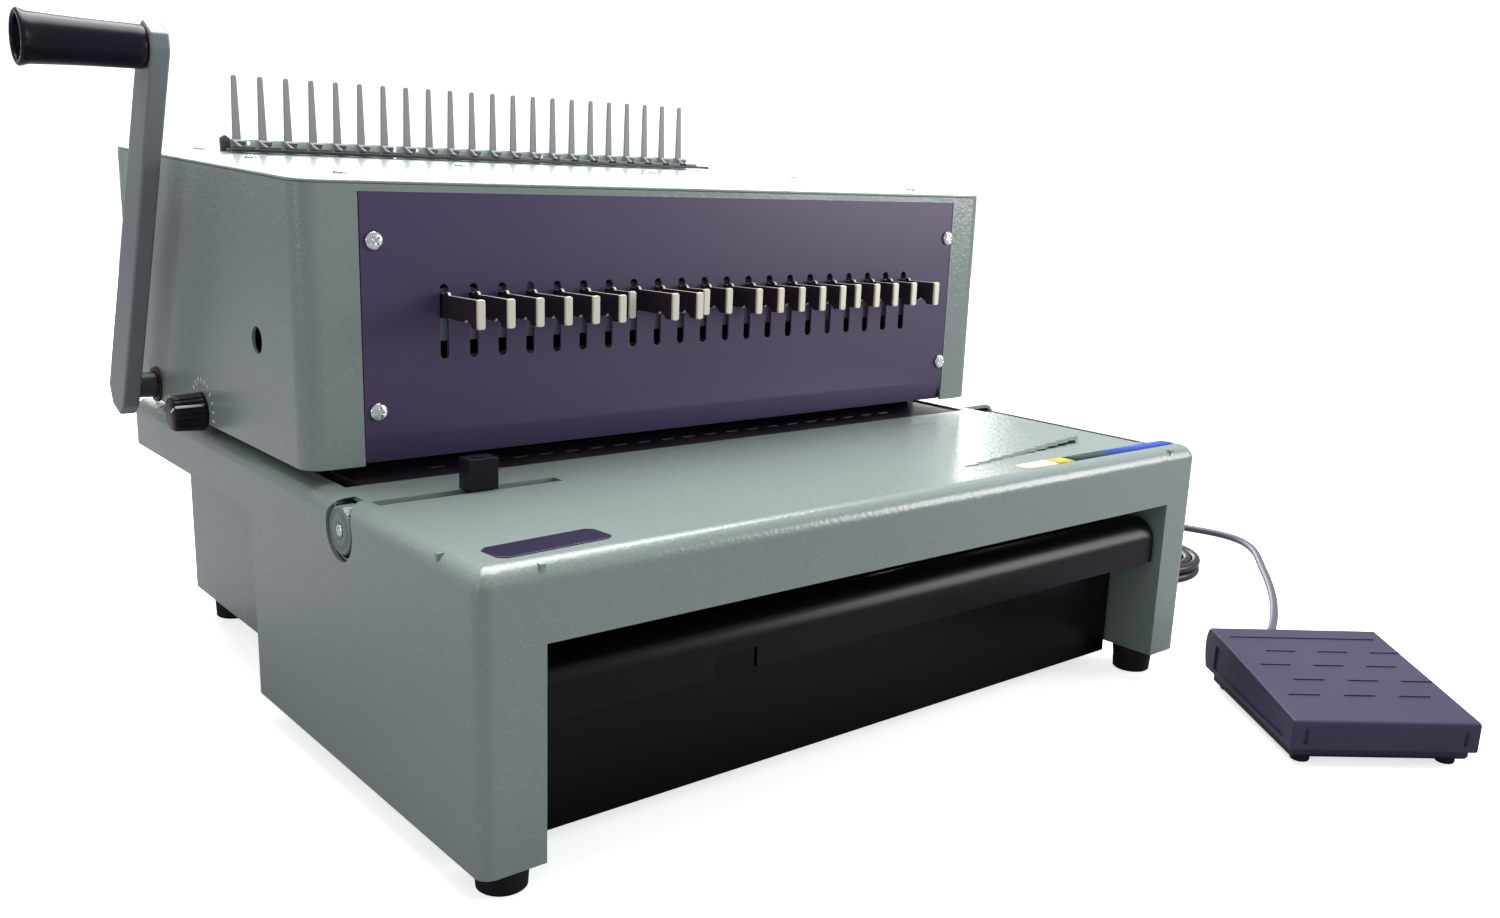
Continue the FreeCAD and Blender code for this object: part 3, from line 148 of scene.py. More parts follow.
# grain is (scale, depth in metres), drift is (scale, share of the colour), speck is (scale, colour)
finishLooks = {
    "bodyPaint": {"colour": (0.232, 0.288, 0.268), "roughness": 0.27, "grain": (430, 0.0003),
                  "drift": (5, 0.05), "speck": (1100, (0.30, 0.34, 0.325)), "specular": 0.75},
    "leverPaint": {"colour": (0.20, 0.225, 0.235), "roughness": 0.36, "grain": (500, 0.0001),
                   "drift": (8, 0.05)},
    "panelPaint": {"colour": (0.064, 0.040, 0.108), "roughness": 0.38, "grain": (1400, 0.00003),
                   "drift": (4, 0.1)},
    "blackPlastic": {"colour": (0.005, 0.0035, 0.009), "roughness": 0.3, "specular": 0.25,
                     "grain": (1600, 0.00003)},
    "gripPlastic": {"colour": (0.006, 0.004, 0.012), "roughness": 0.28, "specular": 0.25,
                    "grain": (1300, 0.00003), "drift": (20, 0.2)},
    "trayPlastic": {"colour": (0.0016, 0.0016, 0.0026), "roughness": 0.3, "specular": 0.2,
                    "grain": (1000, 0.00004)},
    "pedalPlastic": {"colour": (0.038, 0.033, 0.075), "roughness": 0.42, "specular": 0.4,
                     "grain": (1100, 0.00009), "drift": (15, 0.08)},
    "pedalDark": {"colour": (0.02, 0.018, 0.04), "roughness": 0.55, "grain": (1100, 0.00006)},
    "rubber": {"colour": (0.012, 0.011, 0.014), "roughness": 0.7, "specular": 0.3,
               "grain": (700, 0.0001)},
    "leadSheath": {"colour": (0.085, 0.08, 0.115), "roughness": 0.42, "grain": (900, 0.00003)},
    "mainsSheath": {"colour": (0.012, 0.010, 0.018), "roughness": 0.38, "grain": (900, 0.00003)},
    "tineSteel": {"colour": (0.34, 0.34, 0.36), "roughness": 0.5, "grain": (900, 0.00003),
                  "stretch": (1, 1, 0.15)},
    # flange steel: bright cream on the hook flanges; on the blade plates' edge faces the same colour is a
    # painted highlight
    "flangeSteel": {"colour": (0.80, 0.73, 0.62), "roughness": 0.36, "metallic": 0.35,
                    "grain": (1500, 0.00002)},
    "bladeSteel": {"colour": (0.05, 0.028, 0.04), "roughness": 0.4, "metallic": 0.5,
                   "grain": (900, 0.00002), "stretch": (1, 0.15, 1)},
    "clawBrown": {"colour": (0.10, 0.085, 0.10), "roughness": 0.4, "metallic": 0.3,
                  "grain": (900, 0.00003)},
    "darkSteel": {"colour": (0.12, 0.11, 0.13), "roughness": 0.4, "metallic": 0.9,
                  "grain": (900, 0.00003)},
    "plainSteel": {"colour": (0.42, 0.41, 0.43), "roughness": 0.36, "metallic": 1.0,
                   "grain": (800, 0.00003), "stretch": (0.12, 1, 1)},
    # the tine strip's pale paint, made lighter still to stand in for light its front face doesn't get: partly
    # painted light
    "stripPaint": {"colour": (0.62, 0.80, 0.72), "roughness": 0.35, "grain": (620, 0.0001)},
    # near-white strip on the opener claws' edges: a painted highlight
    "clawEdge": {"colour": (0.90, 0.90, 0.92), "roughness": 0.5, "grain": (1500, 0.00001)},
    # the carrier's grey-violet, made lighter to stand in for the light it misses in the panel's shade: partly
    # painted light
    "carrierPaint": {"colour": (0.34, 0.32, 0.46), "roughness": 0.5, "grain": (1400, 0.00003)},
    "dieSteel": {"colour": (0.016, 0.011, 0.017), "roughness": 0.4, "grain": (900, 0.00003),
                 "drift": (30, 0.3)},
    "zinc": {"colour": (0.80, 0.82, 0.84), "roughness": 0.22, "metallic": 1.0, "grain": (1500, 0.00002)},
    "wheelMetal": {"colour": (0.20, 0.25, 0.25), "roughness": 0.36, "metallic": 0.35,
                   "grain": (1100, 0.00003)},
    "bronze": {"colour": (0.055, 0.028, 0.022), "roughness": 0.45, "metallic": 0.8, "drift": (60, 0.2)},
    "badge": {"colour": (0.016, 0.012, 0.042), "roughness": 0.25, "grain": (1500, 0.00001), "coat": 0.6},
    "markWhite": {"colour": (0.78, 0.78, 0.75), "roughness": 0.5, "grain": (1500, 0.00001)},
    "stripPale": {"colour": (0.82, 0.82, 0.62), "roughness": 0.6, "specular": 0.1,
                  "grain": (1200, 0.00001)},
    "stripGold": {"colour": (0.60, 0.42, 0.06), "roughness": 0.6, "specular": 0.1,
                  "grain": (1200, 0.00001)},
    "stripGreen": {"colour": (0.02, 0.05, 0.035), "roughness": 0.6, "specular": 0.1,
                   "grain": (1200, 0.00001)},
    "stripBlue": {"colour": (0.03, 0.08, 0.42), "roughness": 0.6, "specular": 0.1,
                  "grain": (1200, 0.00001)},
    "board": {"colour": (0.03, 0.16, 0.07), "roughness": 0.4, "grain": (700, 0.00003),
              "drift": (80, 0.3)},
}
finishes = {name: makeFinish(name, **look) for name, look in finishLooks.items()}
print("finishes made:", len(finishes))


def newObject(name, mesh, material=None):
    piece = bpy.data.objects.new(name, mesh)
    bpy.context.scene.collection.objects.link(piece)
    if material and not mesh.materials:
        mesh.materials.append(finishes[material])
    return piece


def smoothAll(mesh):
    mesh.polygons.foreach_set("use_smooth", [True] * len(mesh.polygons))


def fromBmesh(name, build, material=None):
    mesh = bpy.data.meshes.new(name)
    build.to_mesh(mesh)
    build.free()
    smoothAll(mesh)
    return newObject(name, mesh, material)


# rounded edges, then a plain mesh with the modifiers in it
def settle(piece, bevel=0.0, segments=2, angle=32, weighted=True):
    if bevel:
        edge = piece.modifiers.new("edge", "BEVEL")
        edge.width = bevel
        edge.segments = segments
        edge.limit_method = "ANGLE"
        edge.angle_limit = math.radians(angle)
        edge.use_clamp_overlap = True
    if weighted:
        even = piece.modifiers.new("even", "WEIGHTED_NORMAL")
        even.keep_sharp = True
        even.weight = 60
    return bakeMesh(piece)


def bakeMesh(piece):
    bpy.context.view_layer.update()
    done = piece.evaluated_get(bpy.context.evaluated_depsgraph_get())
    mesh = bpy.data.meshes.new_from_object(done)
    old = piece.data
    piece.modifiers.clear()
    piece.data = mesh
    mesh.name = piece.name
    if old.users == 0 and isinstance(old, bpy.types.Mesh):
        bpy.data.meshes.remove(old)
    return piece


# the piece rides on its body and stands for its CAD nodes
def seat(piece, body, replaced=()):
    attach(piece, body)
    if replaced:
        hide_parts(*replaced)
    return piece


def bodyOf(node):
    return nodes[node]["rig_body"]


# a CAD node's shape with its triangles merged and its edges eased, or left sharp where bevel is 0
def easedCopy(name, node, material, bevel=0.0005, segments=2, angle=32):
    build = bmesh.new()
    build.from_mesh(nodes[node].data)
    bmesh.ops.remove_doubles(build, verts=build.verts, dist=0.000002)
    if bevel:
        bmesh.ops.dissolve_limit(build, angle_limit=math.radians(0.3), verts=build.verts, edges=build.edges)
    else:
        for edge in build.edges:
            if edge.is_manifold and edge.calc_face_angle() > math.radians(angle):
                edge.smooth = False
    piece = fromBmesh(name, build, material)
    settle(piece, bevel, segments, angle)
    return seat(piece, bodyOf(node), [node])


# where an outline's point (u, v) lies when it is pushed to w along an axis
pushed = {"X": lambda u, v, w: (w, u, v), "Y": lambda u, v, w: (u, w, v),
          "Z": lambda u, v, w: (u, v, w)}
# an axis and the two directions across it
across = {"X": (Vector((1, 0, 0)), Vector((0, 1, 0)), Vector((0, 0, 1))),
          "Y": (Vector((0, 1, 0)), Vector((0, 0, 1)), Vector((1, 0, 0))),
          "Z": (Vector((0, 0, 1)), Vector((1, 0, 0)), Vector((0, 1, 0)))}


# closed prism: outline in two axes, pushed along the third
def prism(name, corners, low, high, along, material=None):
    build = bmesh.new()
    rings = [[build.verts.new(spot(*pushed[along](u, v, w))) for u, v in corners] for w in (low, high)]
    build.faces.new(rings[0][::-1])
    build.faces.new(rings[1])
    for i in range(len(corners)):
        j = (i + 1) % len(corners)
        build.faces.new((rings[0][i], rings[0][j], rings[1][j], rings[1][i]))
    bmesh.ops.recalc_face_normals(build, faces=build.faces)
    return fromBmesh(name, build, material)


# body of revolution: profile of (along, radius) about an axis through centre
def lathe(name, profile, centre, axis, material=None, steps=64, wobble=None):
    build = bmesh.new()
    forward, right, up = across[axis]
    rings = []
    for along, radius in profile:
        middle = centre + forward * along / 1000
        if radius == 0:
            rings.append([build.verts.new(middle)])
            continue
        ring = []
        for i in range(steps):
            turn = 2 * math.pi * i / steps
            reach = (radius + (wobble(turn, along) if wobble else 0)) / 1000
            place = middle + right * reach * math.cos(turn) + up * reach * math.sin(turn)
            ring.append(build.verts.new(place))
        rings.append(ring)
    for a, b in zip(rings, rings[1:]):
        for i in range(steps):
            j = (i + 1) % steps
            if len(a) == 1:
                build.faces.new((a[0], b[i], b[j]))
            elif len(b) == 1:
                build.faces.new((a[i], b[0], a[j]))
            else:
                build.faces.new((a[i], b[i], b[j], a[j]))
    bmesh.ops.recalc_face_normals(build, faces=build.faces)
    return fromBmesh(name, build, material)


# small block, its size and middle in millimetres, turned about an axis and then moved to centre
def block(name, size, middle, centre, material=None, turn=0, axis="X"):
    build = bmesh.new()
    bmesh.ops.create_cube(build, size=1)
    bmesh.ops.scale(build, vec=Vector(size) / 1000, verts=build.verts)
    bmesh.ops.translate(build, vec=Vector(middle) / 1000, verts=build.verts)
    bmesh.ops.rotate(build, cent=(0, 0, 0), matrix=Matrix.Rotation(math.radians(turn), 3, axis),
                     verts=build.verts)
    bmesh.ops.translate(build, vec=centre, verts=build.verts)
    return fromBmesh(name, build, material)


def arc(cx, cy, radius, start, end, steps):
    turns = [math.radians(start + (end - start) * i / steps) for i in range(steps + 1)]
    return [(cx + radius * math.cos(t), cy + radius * math.sin(t)) for t in turns]


def roundedBox(x0, y0, x1, y1, radius, steps=4):
    centres = ((x1 - radius, y0 + radius), (x1 - radius, y1 - radius), (x0 + radius, y1 - radius),
               (x0 + radius, y0 + radius))
    corners = []
    for start, (x, y) in zip((-90, 0, 90, 180), centres):
        corners += arc(x, y, radius, start, start + 90, steps)
    return corners


# several meshes in one piece, each keeping its finish
def joined(name, parts):
    build = bmesh.new()
    mesh = bpy.data.meshes.new(name)
    for part in parts:
        shift = len(mesh.materials)
        for material in part.data.materials:
            mesh.materials.append(material)
        before = len(build.faces)
        build.from_mesh(part.data)
        build.faces.ensure_lookup_table()
        for face in build.faces[before:]:
            face.material_index += shift
        old = part.data
        bpy.data.objects.remove(part)
        if old.users == 0:
            bpy.data.meshes.remove(old)
    build.to_mesh(mesh)
    build.free()
    smoothAll(mesh)
    return newObject(name, mesh)


def cutAway(piece, tool):
    work = piece.modifiers.new("cut", "BOOLEAN")
    work.operation = "DIFFERENCE"
    work.solver = "EXACT"
    work.object = tool
    bakeMesh(piece)
    data = tool.data
    bpy.data.objects.remove(tool)
    bpy.data.meshes.remove(data)
    return piece


# a tree that puts Part on points, makes the copies real and gives them Finish
def startTree(name, inputs):
    tree = bpy.data.node_groups.new(name, "GeometryNodeTree")
    face = tree.interface
    for label, kind in [("Geometry", "Geometry"), ("Part", "Object"), *inputs, ("Finish", "Material")]:
        face.new_socket(label, in_out="INPUT", socket_type="NodeSocket" + kind)
    face.new_socket("Geometry", in_out="OUTPUT", socket_type="NodeSocketGeometry")
    inward = tree.nodes.new("NodeGroupInput")
    outward = tree.nodes.new("NodeGroupOutput")
    info = tree.nodes.new("GeometryNodeObjectInfo")
    place = tree.nodes.new("GeometryNodeInstanceOnPoints")
    real = tree.nodes.new("GeometryNodeRealizeInstances")
    finish = tree.nodes.new("GeometryNodeSetMaterial")
    link(tree, inward.outputs["Part"], info.inputs["Object"])
    link(tree, info.outputs["Geometry"], place.inputs["Instance"])
    link(tree, place.outputs["Instances"], real.inputs["Geometry"])
    link(tree, real.outputs["Geometry"], finish.inputs["Geometry"])
    link(tree, inward.outputs["Finish"], finish.inputs["Material"])
    link(tree, finish.outputs["Geometry"], outward.inputs["Geometry"])
    return tree, inward, place


# a straight row of one part: Count of them, each Step on from the one before
def makeRowTree():
    tree, inward, place = startTree("partRow", [("Count", "Int"), ("Step", "Vector")])
    line = tree.nodes.new("GeometryNodeMeshLine")
    link(tree, inward.outputs["Count"], line.inputs["Count"])
    link(tree, inward.outputs["Step"], line.inputs["Offset"])
    link(tree, line.outputs["Mesh"], place.inputs["Points"])
    return tree


# one part on every point of a mesh, its +Z along Facing, turned by a random share of Turn
def makePointTree():
    tree, inward, place = startTree("partOnPoints", [("Facing", "Vector"), ("Turn", "Float")])
    aim = tree.nodes.new("FunctionNodeAlignRotationToVector")
    aim.axis = "Z"
    chance = tree.nodes.new("FunctionNodeRandomValue")
    chance.inputs["Seed"].default_value = 7
    numberOut = 1  # the random node's output for plain numbers
    times = tree.nodes.new("ShaderNodeMath")
    times.operation = "MULTIPLY"
    spin = tree.nodes.new("FunctionNodeAxisAngleToRotation")
    turn = tree.nodes.new("FunctionNodeRotateRotation")
    turn.rotation_space = "LOCAL"
    link(tree, inward.outputs["Geometry"], place.inputs["Points"])
    link(tree, inward.outputs["Facing"], aim.inputs["Vector"])
    link(tree, chance.outputs[numberOut], times.inputs[0])
    link(tree, inward.outputs["Turn"], times.inputs[1])
    link(tree, times.outputs["Value"], spin.inputs["Angle"])
    link(tree, aim.outputs["Rotation"], turn.inputs["Rotation"])
    link(tree, spin.outputs["Rotation"], turn.inputs["Rotate By"])
    link(tree, turn.outputs["Rotation"], place.inputs["Rotation"])
    return tree


rowTree = makeRowTree()
pointTree = makePointTree()


# the tree's result as a plain mesh; the part it was fed is used up
def runTree(name, tree, base, values):
    piece = newObject(name, base)
    work = piece.modifiers.new("nodes", "NODES")
    work.node_group = tree
    for item in tree.interface.items_tree:
        if item.in_out == "INPUT" and item.name in values:
            work[item.identifier] = values[item.name]
    bakeMesh(piece)
    smoothAll(piece.data)
    bpy.data.objects.remove(values["Part"])
    return piece


def rowOf(name, part, count, step, material):
    part.data.materials.clear()
    return runTree(name, rowTree, bpy.data.meshes.new(name + "Base"),
                   {"Part": part, "Count": count, "Step": tuple(step), "Finish": finishes[material]})


def onPoints(name, part, points, facing, material, turn=0.0):
    part.data.materials.clear()
    base = bpy.data.meshes.new(name + "Base")
    base.from_pydata([tuple(point) for point in points], [], [])
    return runTree(name, pointTree, base,
                   {"Part": part, "Facing": tuple(facing), "Turn": turn, "Finish": finishes[material]})


camera = {"place": (-0.42603, -0.50657, 0.26690), "turn": (76.389, -2.156, -39.765), "lens": 31.919,
          "sensor": 36, "shift": (-0.0042, 0.0214), "nearest": 0.01}
lights = [
    {"name": "skyLight", "place": (0.3, 0.6, 2.0), "aim": (0, 0, 0.1), "size": (1.9, 1.9), "power": 84},
    {"name": "backLight", "place": (1.02, 2.45, 0.52), "aim": (0, 0, 0.3), "size": (3.0, 0.95), "power": 48},
    {"name": "rightLight", "place": (1, -0.8, 0.5), "aim": (0.1, 0, 0.15), "size": (0.5, 0.5), "power": 7},
    {"name": "leftLight", "place": (-1.9, -0.2, 0.55), "aim": (-0.2, 0, 0.15), "size": (0.5, 0.5),
     "power": 3},
]
sky = {"colour": (0.95, 0.97, 1, 1), "seen": 1.4, "glossy": 0.5, "dull": 0.46}
floorPaper = {"corners": [(-9, -3, 0), (9, -3, 0), (9, 12, 0), (-9, 12, 0)], "roughness": 0.9,
              "specular": 0.1, "lit": (0.30, 0.29, 0.32, 1), "seen": (0.92, 0.92, 0.92, 1), "glow": 0.7}
numberMix = {"first": 2, "second": 3, "out": 0}  # a Mix node's sockets when it mixes numbers


def aimAt(place, target):
    return (Vector(target) - Vector(place)).to_track_quat("-Z", "Y").to_euler()


def makeStudio():
    scene = bpy.context.scene
    view = bpy.data.cameras.new("camera")
    view.lens = camera["lens"]
    view.sensor_width = camera["sensor"]
    view.shift_x, view.shift_y = camera["shift"]
    view.clip_start = camera["nearest"]
    eye = bpy.data.objects.new("camera", view)
    eye.location = camera["place"]
    eye.rotation_euler = [math.radians(angle) for angle in camera["turn"]]
    scene.collection.objects.link(eye)
    scene.camera = eye
    for item in lights:
        lamp = bpy.data.lights.new(item["name"], "AREA")
        lamp.shape = "RECTANGLE"
        lamp.size, lamp.size_y = item["size"]
        lamp.energy = item["power"]
        holder = bpy.data.objects.new(item["name"], lamp)
        holder.location = item["place"]
        holder.rotation_euler = aimAt(item["place"], item["aim"])
        holder.visible_camera = False
        scene.collection.objects.link(holder)
    scene.world = makeSky()
    scene.view_settings.view_transform = "Standard"
    sheet = bpy.data.meshes.new("floor")
    sheet.from_pydata(floorPaper["corners"], [], [(0, 1, 2, 3)])
    sheet.materials.append(makeFloorPaper())
    newObject("floor", sheet)


# white where it is looked at, dimmer for the light it gives to dull and to glossy surfaces
def makeSky():
    world = bpy.data.worlds.new("studio")
    world.use_nodes = True
    tree = world.node_tree
    back = tree.nodes["Background"]
    back.inputs["Color"].default_value = sky["colour"]
    path = tree.nodes.new("ShaderNodeLightPath")
    dull = tree.nodes.new("ShaderNodeMix")
    dull.inputs[numberMix["first"]].default_value = sky["glossy"]
    dull.inputs[numberMix["second"]].default_value = sky["dull"]
    seen = tree.nodes.new("ShaderNodeMix")
    seen.inputs[numberMix["second"]].default_value = sky["seen"]
    link(tree, path.outputs["Is Diffuse Ray"], dull.inputs["Factor"])
    link(tree, path.outputs["Is Camera Ray"], seen.inputs["Factor"])
    link(tree, dull.outputs[numberMix["out"]], seen.inputs[numberMix["first"]])
    link(tree, seen.outputs[numberMix["out"]], back.inputs["Strength"])
    return world


# paper that looks white and throws little light back on what stands on it
def makeFloorPaper():
    material = bpy.data.materials.new("floorPaper")
    material.use_nodes = True
    tree = material.node_tree
    shader = tree.nodes["Principled BSDF"]
    shader.inputs["Roughness"].default_value = floorPaper["roughness"]
    shader.inputs["Specular IOR Level"].default_value = floorPaper["specular"]
    shader.inputs["Emission Color"].default_value = (1, 1, 1, 1)
    path = tree.nodes.new("ShaderNodeLightPath")
    tone = tree.nodes.new("ShaderNodeMix")
    tone.data_type = "RGBA"
    tone.inputs[colourMix["first"]].default_value = floorPaper["lit"]
    tone.inputs[colourMix["second"]].default_value = floorPaper["seen"]
    glow = tree.nodes.new("ShaderNodeMath")
    glow.operation = "MULTIPLY"
    glow.inputs[1].default_value = floorPaper["glow"]
    link(tree, path.outputs["Is Camera Ray"], tone.inputs["Factor"])
    link(tree, path.outputs["Is Camera Ray"], glow.inputs[0])
    link(tree, tone.outputs[colourMix["out"]], shader.inputs["Base Color"])
    link(tree, glow.outputs["Value"], shader.inputs["Emission Strength"])
    return material


makeStudio()
print("studio made")

pedalLead = {
    "length": 1.72, "wide": 5.0, "coilCentre": (318, 190), "coilRadius": 26.5, "coilStart": 110,
    "coilTurns": 6.156, "hand": -1,
    "out": [(227, 205, 40), (240, 205, 39), (253, 206, 34), (264, 208, 26), (275, 211, 17), (286, 214.8, 8.5),
            (295, 218, 3.8), (304, 221.3, 2.6)],
    "on": [(344.6, 213, 7.2), (372, 193, 4.4), (402, 167, 2.6), (432, 137, 2.6), (460, 104, 2.6),
           (486, 72, 2.6), (505, 44, 2.6), (515, 18, 2.6), (519, -4, 2.6), (513, -24, 2.6), (494, -44, 2.6),
           (466, -64, 2.6), (434, -88, 2.6), (400, -111, 2.6), (366, -131, 2.6), (334, -147, 3),
           (308, -157, 4.5), (286, -168, 7), (270, -180, 9), (258.1, -195.5, 9)],
}
mainsLead = {
    "length": 1.74, "wide": 6.0, "coilCentre": (389, -6), "coilRadius": 36, "coilStart": 165,
    "coilTurns": 6.542, "hand": 1,
    "out": [(233, 140, 45), (250, 140, 44), (266, 138, 38), (281, 134, 28), (296, 128, 17), (311, 119, 8),
            (325, 106, 3.2), (336, 90, 3.1), (341.5, 72, 3.1), (343.4, 54, 3.1), (344, 38, 3.1),
            (344, 24, 3.1)],
    "on": [(434.2, 8, 9.4), (434.2, 20, 9.8), (434.2, 34, 10)],
}
# both coils: the column that each turn runs in, where in a turn it slides to the next one, and after how many
# turns it climbs onto the second layer
coil = {"columns": [3, 2, 1, 0, 1, 2, 3, 3], "middle": 1.5, "slack": 0.15, "stepsPerTurn": 18,
        "slideFrom": 0.75, "liftFrom": 3.3, "liftFor": 0.3}


def ease(share):
    share = min(1, max(0, share))
    return share * share * (3 - 2 * share)


# turns wound outside in on the floor, then inside out on top of themselves
def coilTurns(lead):
    gap = lead["wide"] + coil["slack"]
    points = []
    for i in range(1, int(lead["coilTurns"] * coil["stepsPerTurn"]) + 1):
        progress = i / coil["stepsPerTurn"]
        turn = int(progress)
        slide = ease((progress % 1 - coil["slideFrom"]) / (1 - coil["slideFrom"]))
        column = coil["columns"][turn] + (coil["columns"][turn + 1] - coil["columns"][turn]) * slide
        layer = ease((progress - coil["liftFrom"]) / coil["liftFor"])
        radius = lead["coilRadius"] + (column - coil["middle"]) * gap
        angle = math.radians(lead["coilStart"] + lead["hand"] * 360 * progress)
        points.append((lead["coilCentre"][0] + radius * math.cos(angle),
                       lead["coilCentre"][1] + radius * math.sin(angle), gap / 2 + layer * gap))
    return points


def makeLead(name, lead, material):
    route = lead["out"] + coilTurns(lead) + lead["on"]
    line = bpy.data.curves.new(name, "CURVE")
    line.dimensions = "3D"
    spline = line.splines.new("NURBS")
    spline.points.add(len(route) - 1)
    for point, place in zip(spline.points, route):
        point.co = (*spot(*place), 1)
    spline.order_u = 3
    spline.use_endpoint_u = True
    spline.resolution_u = 6
    line.bevel_depth = lead["wide"] / 2000  # millimetres across to metres of radius
    line.bevel_resolution = 5
    line.use_fill_caps = True
    line.materials.append(finishes[material])
    piece = bpy.data.objects.new(name, line)
    bpy.context.scene.collection.objects.link(piece)
    return piece


# shares of a sleeve's length, and the depth of its grooves in millimetres
sleeve = {"head": 0.18, "firstGroove": 0.24, "grooved": 0.66, "grooveWide": 0.03, "crest": 0.04,
          "crestEnd": 0.075, "grooveDeep": 0.9, "lip": 0.4}


# moulded sleeve that grips a lead: rings along a taper
def makeSleeve(name, place, length, start, end, rings, material):
    profile = [(0, 0), (0, start), (length * sleeve["head"], start)]
    for ring in range(rings):
        at = length * (sleeve["firstGroove"] + sleeve["grooved"] * ring / rings)
        radius = start + (end - start) * at / length
        floor = radius - sleeve["grooveDeep"]
        profile += [(at, floor), (at + length * sleeve["grooveWide"], floor),
                    (at + length * sleeve["crest"], radius), (at + length * sleeve["crestEnd"], radius)]
    profile += [(length - sleeve["lip"], end), (length, end - sleeve["lip"]), (length, 0)]
    return lathe(name, profile, spot(*place), "X", material, 40)


mainsSocket = {"place": (205, 140, 45), "sleeveOut": 4, "long": 24, "start": 6.4, "end": 3.9, "rings": 5,
               "nut": [(0, 0), (0, 10), (2.6, 10), (4, 8.8), (4, 0)], "nutSides": 6}
pedalSocket = {"place": (205, 205, 40), "sleeveOut": 5, "long": 17, "start": 4.6, "end": 3.2, "rings": 3,
               "ring": [(0, 0), (0, 8.5), (3.4, 8.5), (5, 7.2), (5, 5.4), (4.2, 5.2), (4.2, 0)]}


def socketSleeve(name, socket):
    x, y, z = socket["place"]
    return makeSleeve(name, (x + socket["sleeveOut"], y, z), socket["long"], socket["start"], socket["end"],
                      socket["rings"], "blackPlastic")


def makeLeads():
    plug = makePlug(*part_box("mains_plug"))
    nut = lathe("glandCollar", mainsSocket["nut"], spot(*mainsSocket["place"]), "X", "blackPlastic",
                mainsSocket["nutSides"])
    gland = joined("mainsGland", [socketSleeve("mainsGland", mainsSocket), nut])
    seat(gland, "base", ["mains_gland"])
    jack = socketSleeve("pedalJack", pedalSocket)
    seat(jack, "base", ["pedal_jack"])
    ring = lathe("pedalSocket", pedalSocket["ring"], spot(*pedalSocket["place"]), "X", "blackPlastic", 48)
    seat(ring, "base", ["pedal_socket"])
    footLead = makeLead("pedalLead", pedalLead, "leadSheath")
    seat(footLead, "base", ["pedal_lead_out", "pedal_lead_coil", "pedal_lead_on"])
    powerLead = makeLead("mainsLead", mainsLead, "mainsSheath")
    seat(powerLead, "base", ["mains_lead", "mains_lead_coil"])


# the plug's outline is (along, half width, half height)
plugShape = {"outline": [(0, 4.5, 4.5), (4, 6.5, 6), (9, 11, 9), (13, 11.8, 9.8), (22, 11.8, 9.8),
                         (30, 11.4, 9.4), (33, 10.8, 8.8), (34, 9.8, 7.8)],
             "high": 0.010, "roundness": 0.6, "pinSize": (1.8, 18, 5.5), "pinSide": 5.5, "pinMiddle": 42.9}


# plug body, flared from its lead, and two flat pins
def makePlug(low, high):
    middle = Vector(((low.x + high.x) / 2, low.y, plugShape["high"]))
    body = bmesh.new()
    rings = []
    for along, wide, tall in plugShape["outline"]:
        corners = roundedBox(-wide, -tall, wide, tall, min(wide, tall) * plugShape["roundness"], 5)
        rings.append([body.verts.new(middle + Vector((u, along, v)) / 1000) for u, v in corners])
    for a, b in zip(rings, rings[1:]):
        for i in range(len(a)):
            j = (i + 1) % len(a)
            body.faces.new((a[i], a[j], b[j], b[i]))
    body.faces.new(rings[0])
    body.faces.new(rings[-1][::-1])
    bmesh.ops.recalc_face_normals(body, faces=body.faces)
    parts = [fromBmesh("plugBody", body, "blackPlastic")]
    for side in (-plugShape["pinSide"], plugShape["pinSide"]):
        pin = block("plugPin", plugShape["pinSize"], (side, plugShape["pinMiddle"], 0), middle, "bronze")
        parts.append(settle(pin, 0.0004))
    return seat(joined("mainsPlug", parts), "base", ["mains_plug"])


def makeCasings():
    for name, node, bevel in (("baseCover", "base_cover", 0.0), ("rearPedestal", "rear_pedestal", 0.0004),
                              ("headCover", "head_cover", 0.0004), ("topCover", "top_cover", 0.0006),
                              ("sizeLedge", "size_ledge", 0.0002)):
        easedCopy(name, node, "bodyPaint", bevel)
    easedCopy("bottomPlate", "bottom_plate", "darkSteel", 0.0003)


panel = {"wide": 361.2, "top": 252, "fold": 148.5, "foldHalf": 1.2, "foldBack": 0.25, "low": 137,
         "lowBack": 3.0, "thick": 1.2, "slotMid": 197, "slotTall": 32.6, "slotWide": 4.0, "slotCount": 21}


# folded sheet with a row of round-ended slots
def makePanel():
    half = panel["wide"] / 2
    thick = panel["thick"]
    foldTop, foldLow = panel["fold"] + panel["foldHalf"], panel["fold"] - panel["foldHalf"]
    outer = [(0, panel["top"]), (0, foldTop), (panel["foldBack"], foldLow), (panel["lowBack"], panel["low"])]
    inner = [(y + thick, z) for y, z in outer[::-1]]
    sheet = prism("frontPanel", outer + inner, -half, half, "X", "panelPaint")
    reach = panel["slotWide"] / 2
    straight = panel["slotTall"] / 2 - reach
    mid = panel["slotMid"]
    corners = arc(0, mid + straight, reach, 0, 180, 10) + arc(0, mid - straight, reach, 180, 360, 10)
    first = -(panel["slotCount"] - 1) / 2 * pitch
    slot = prism("slotTool", [(x + first, z) for x, z in corners], -4, 6, "Y")
    row = rowOf("slotRow", slot, panel["slotCount"], pitchStep, "panelPaint")
    cutAway(sheet, row)
    settle(sheet, 0.00025, 2, 40)
    seat(sheet, "base", ["front_panel"])


# each painted-shade sheet is its front and its box of (left, low, right, high)
ventShadeSheets = {"headScreen": (251.0, (-184, 130.9, 184, 224)),
               "pedestalScreen": (246.6, (-170, 22, 195, 112))}


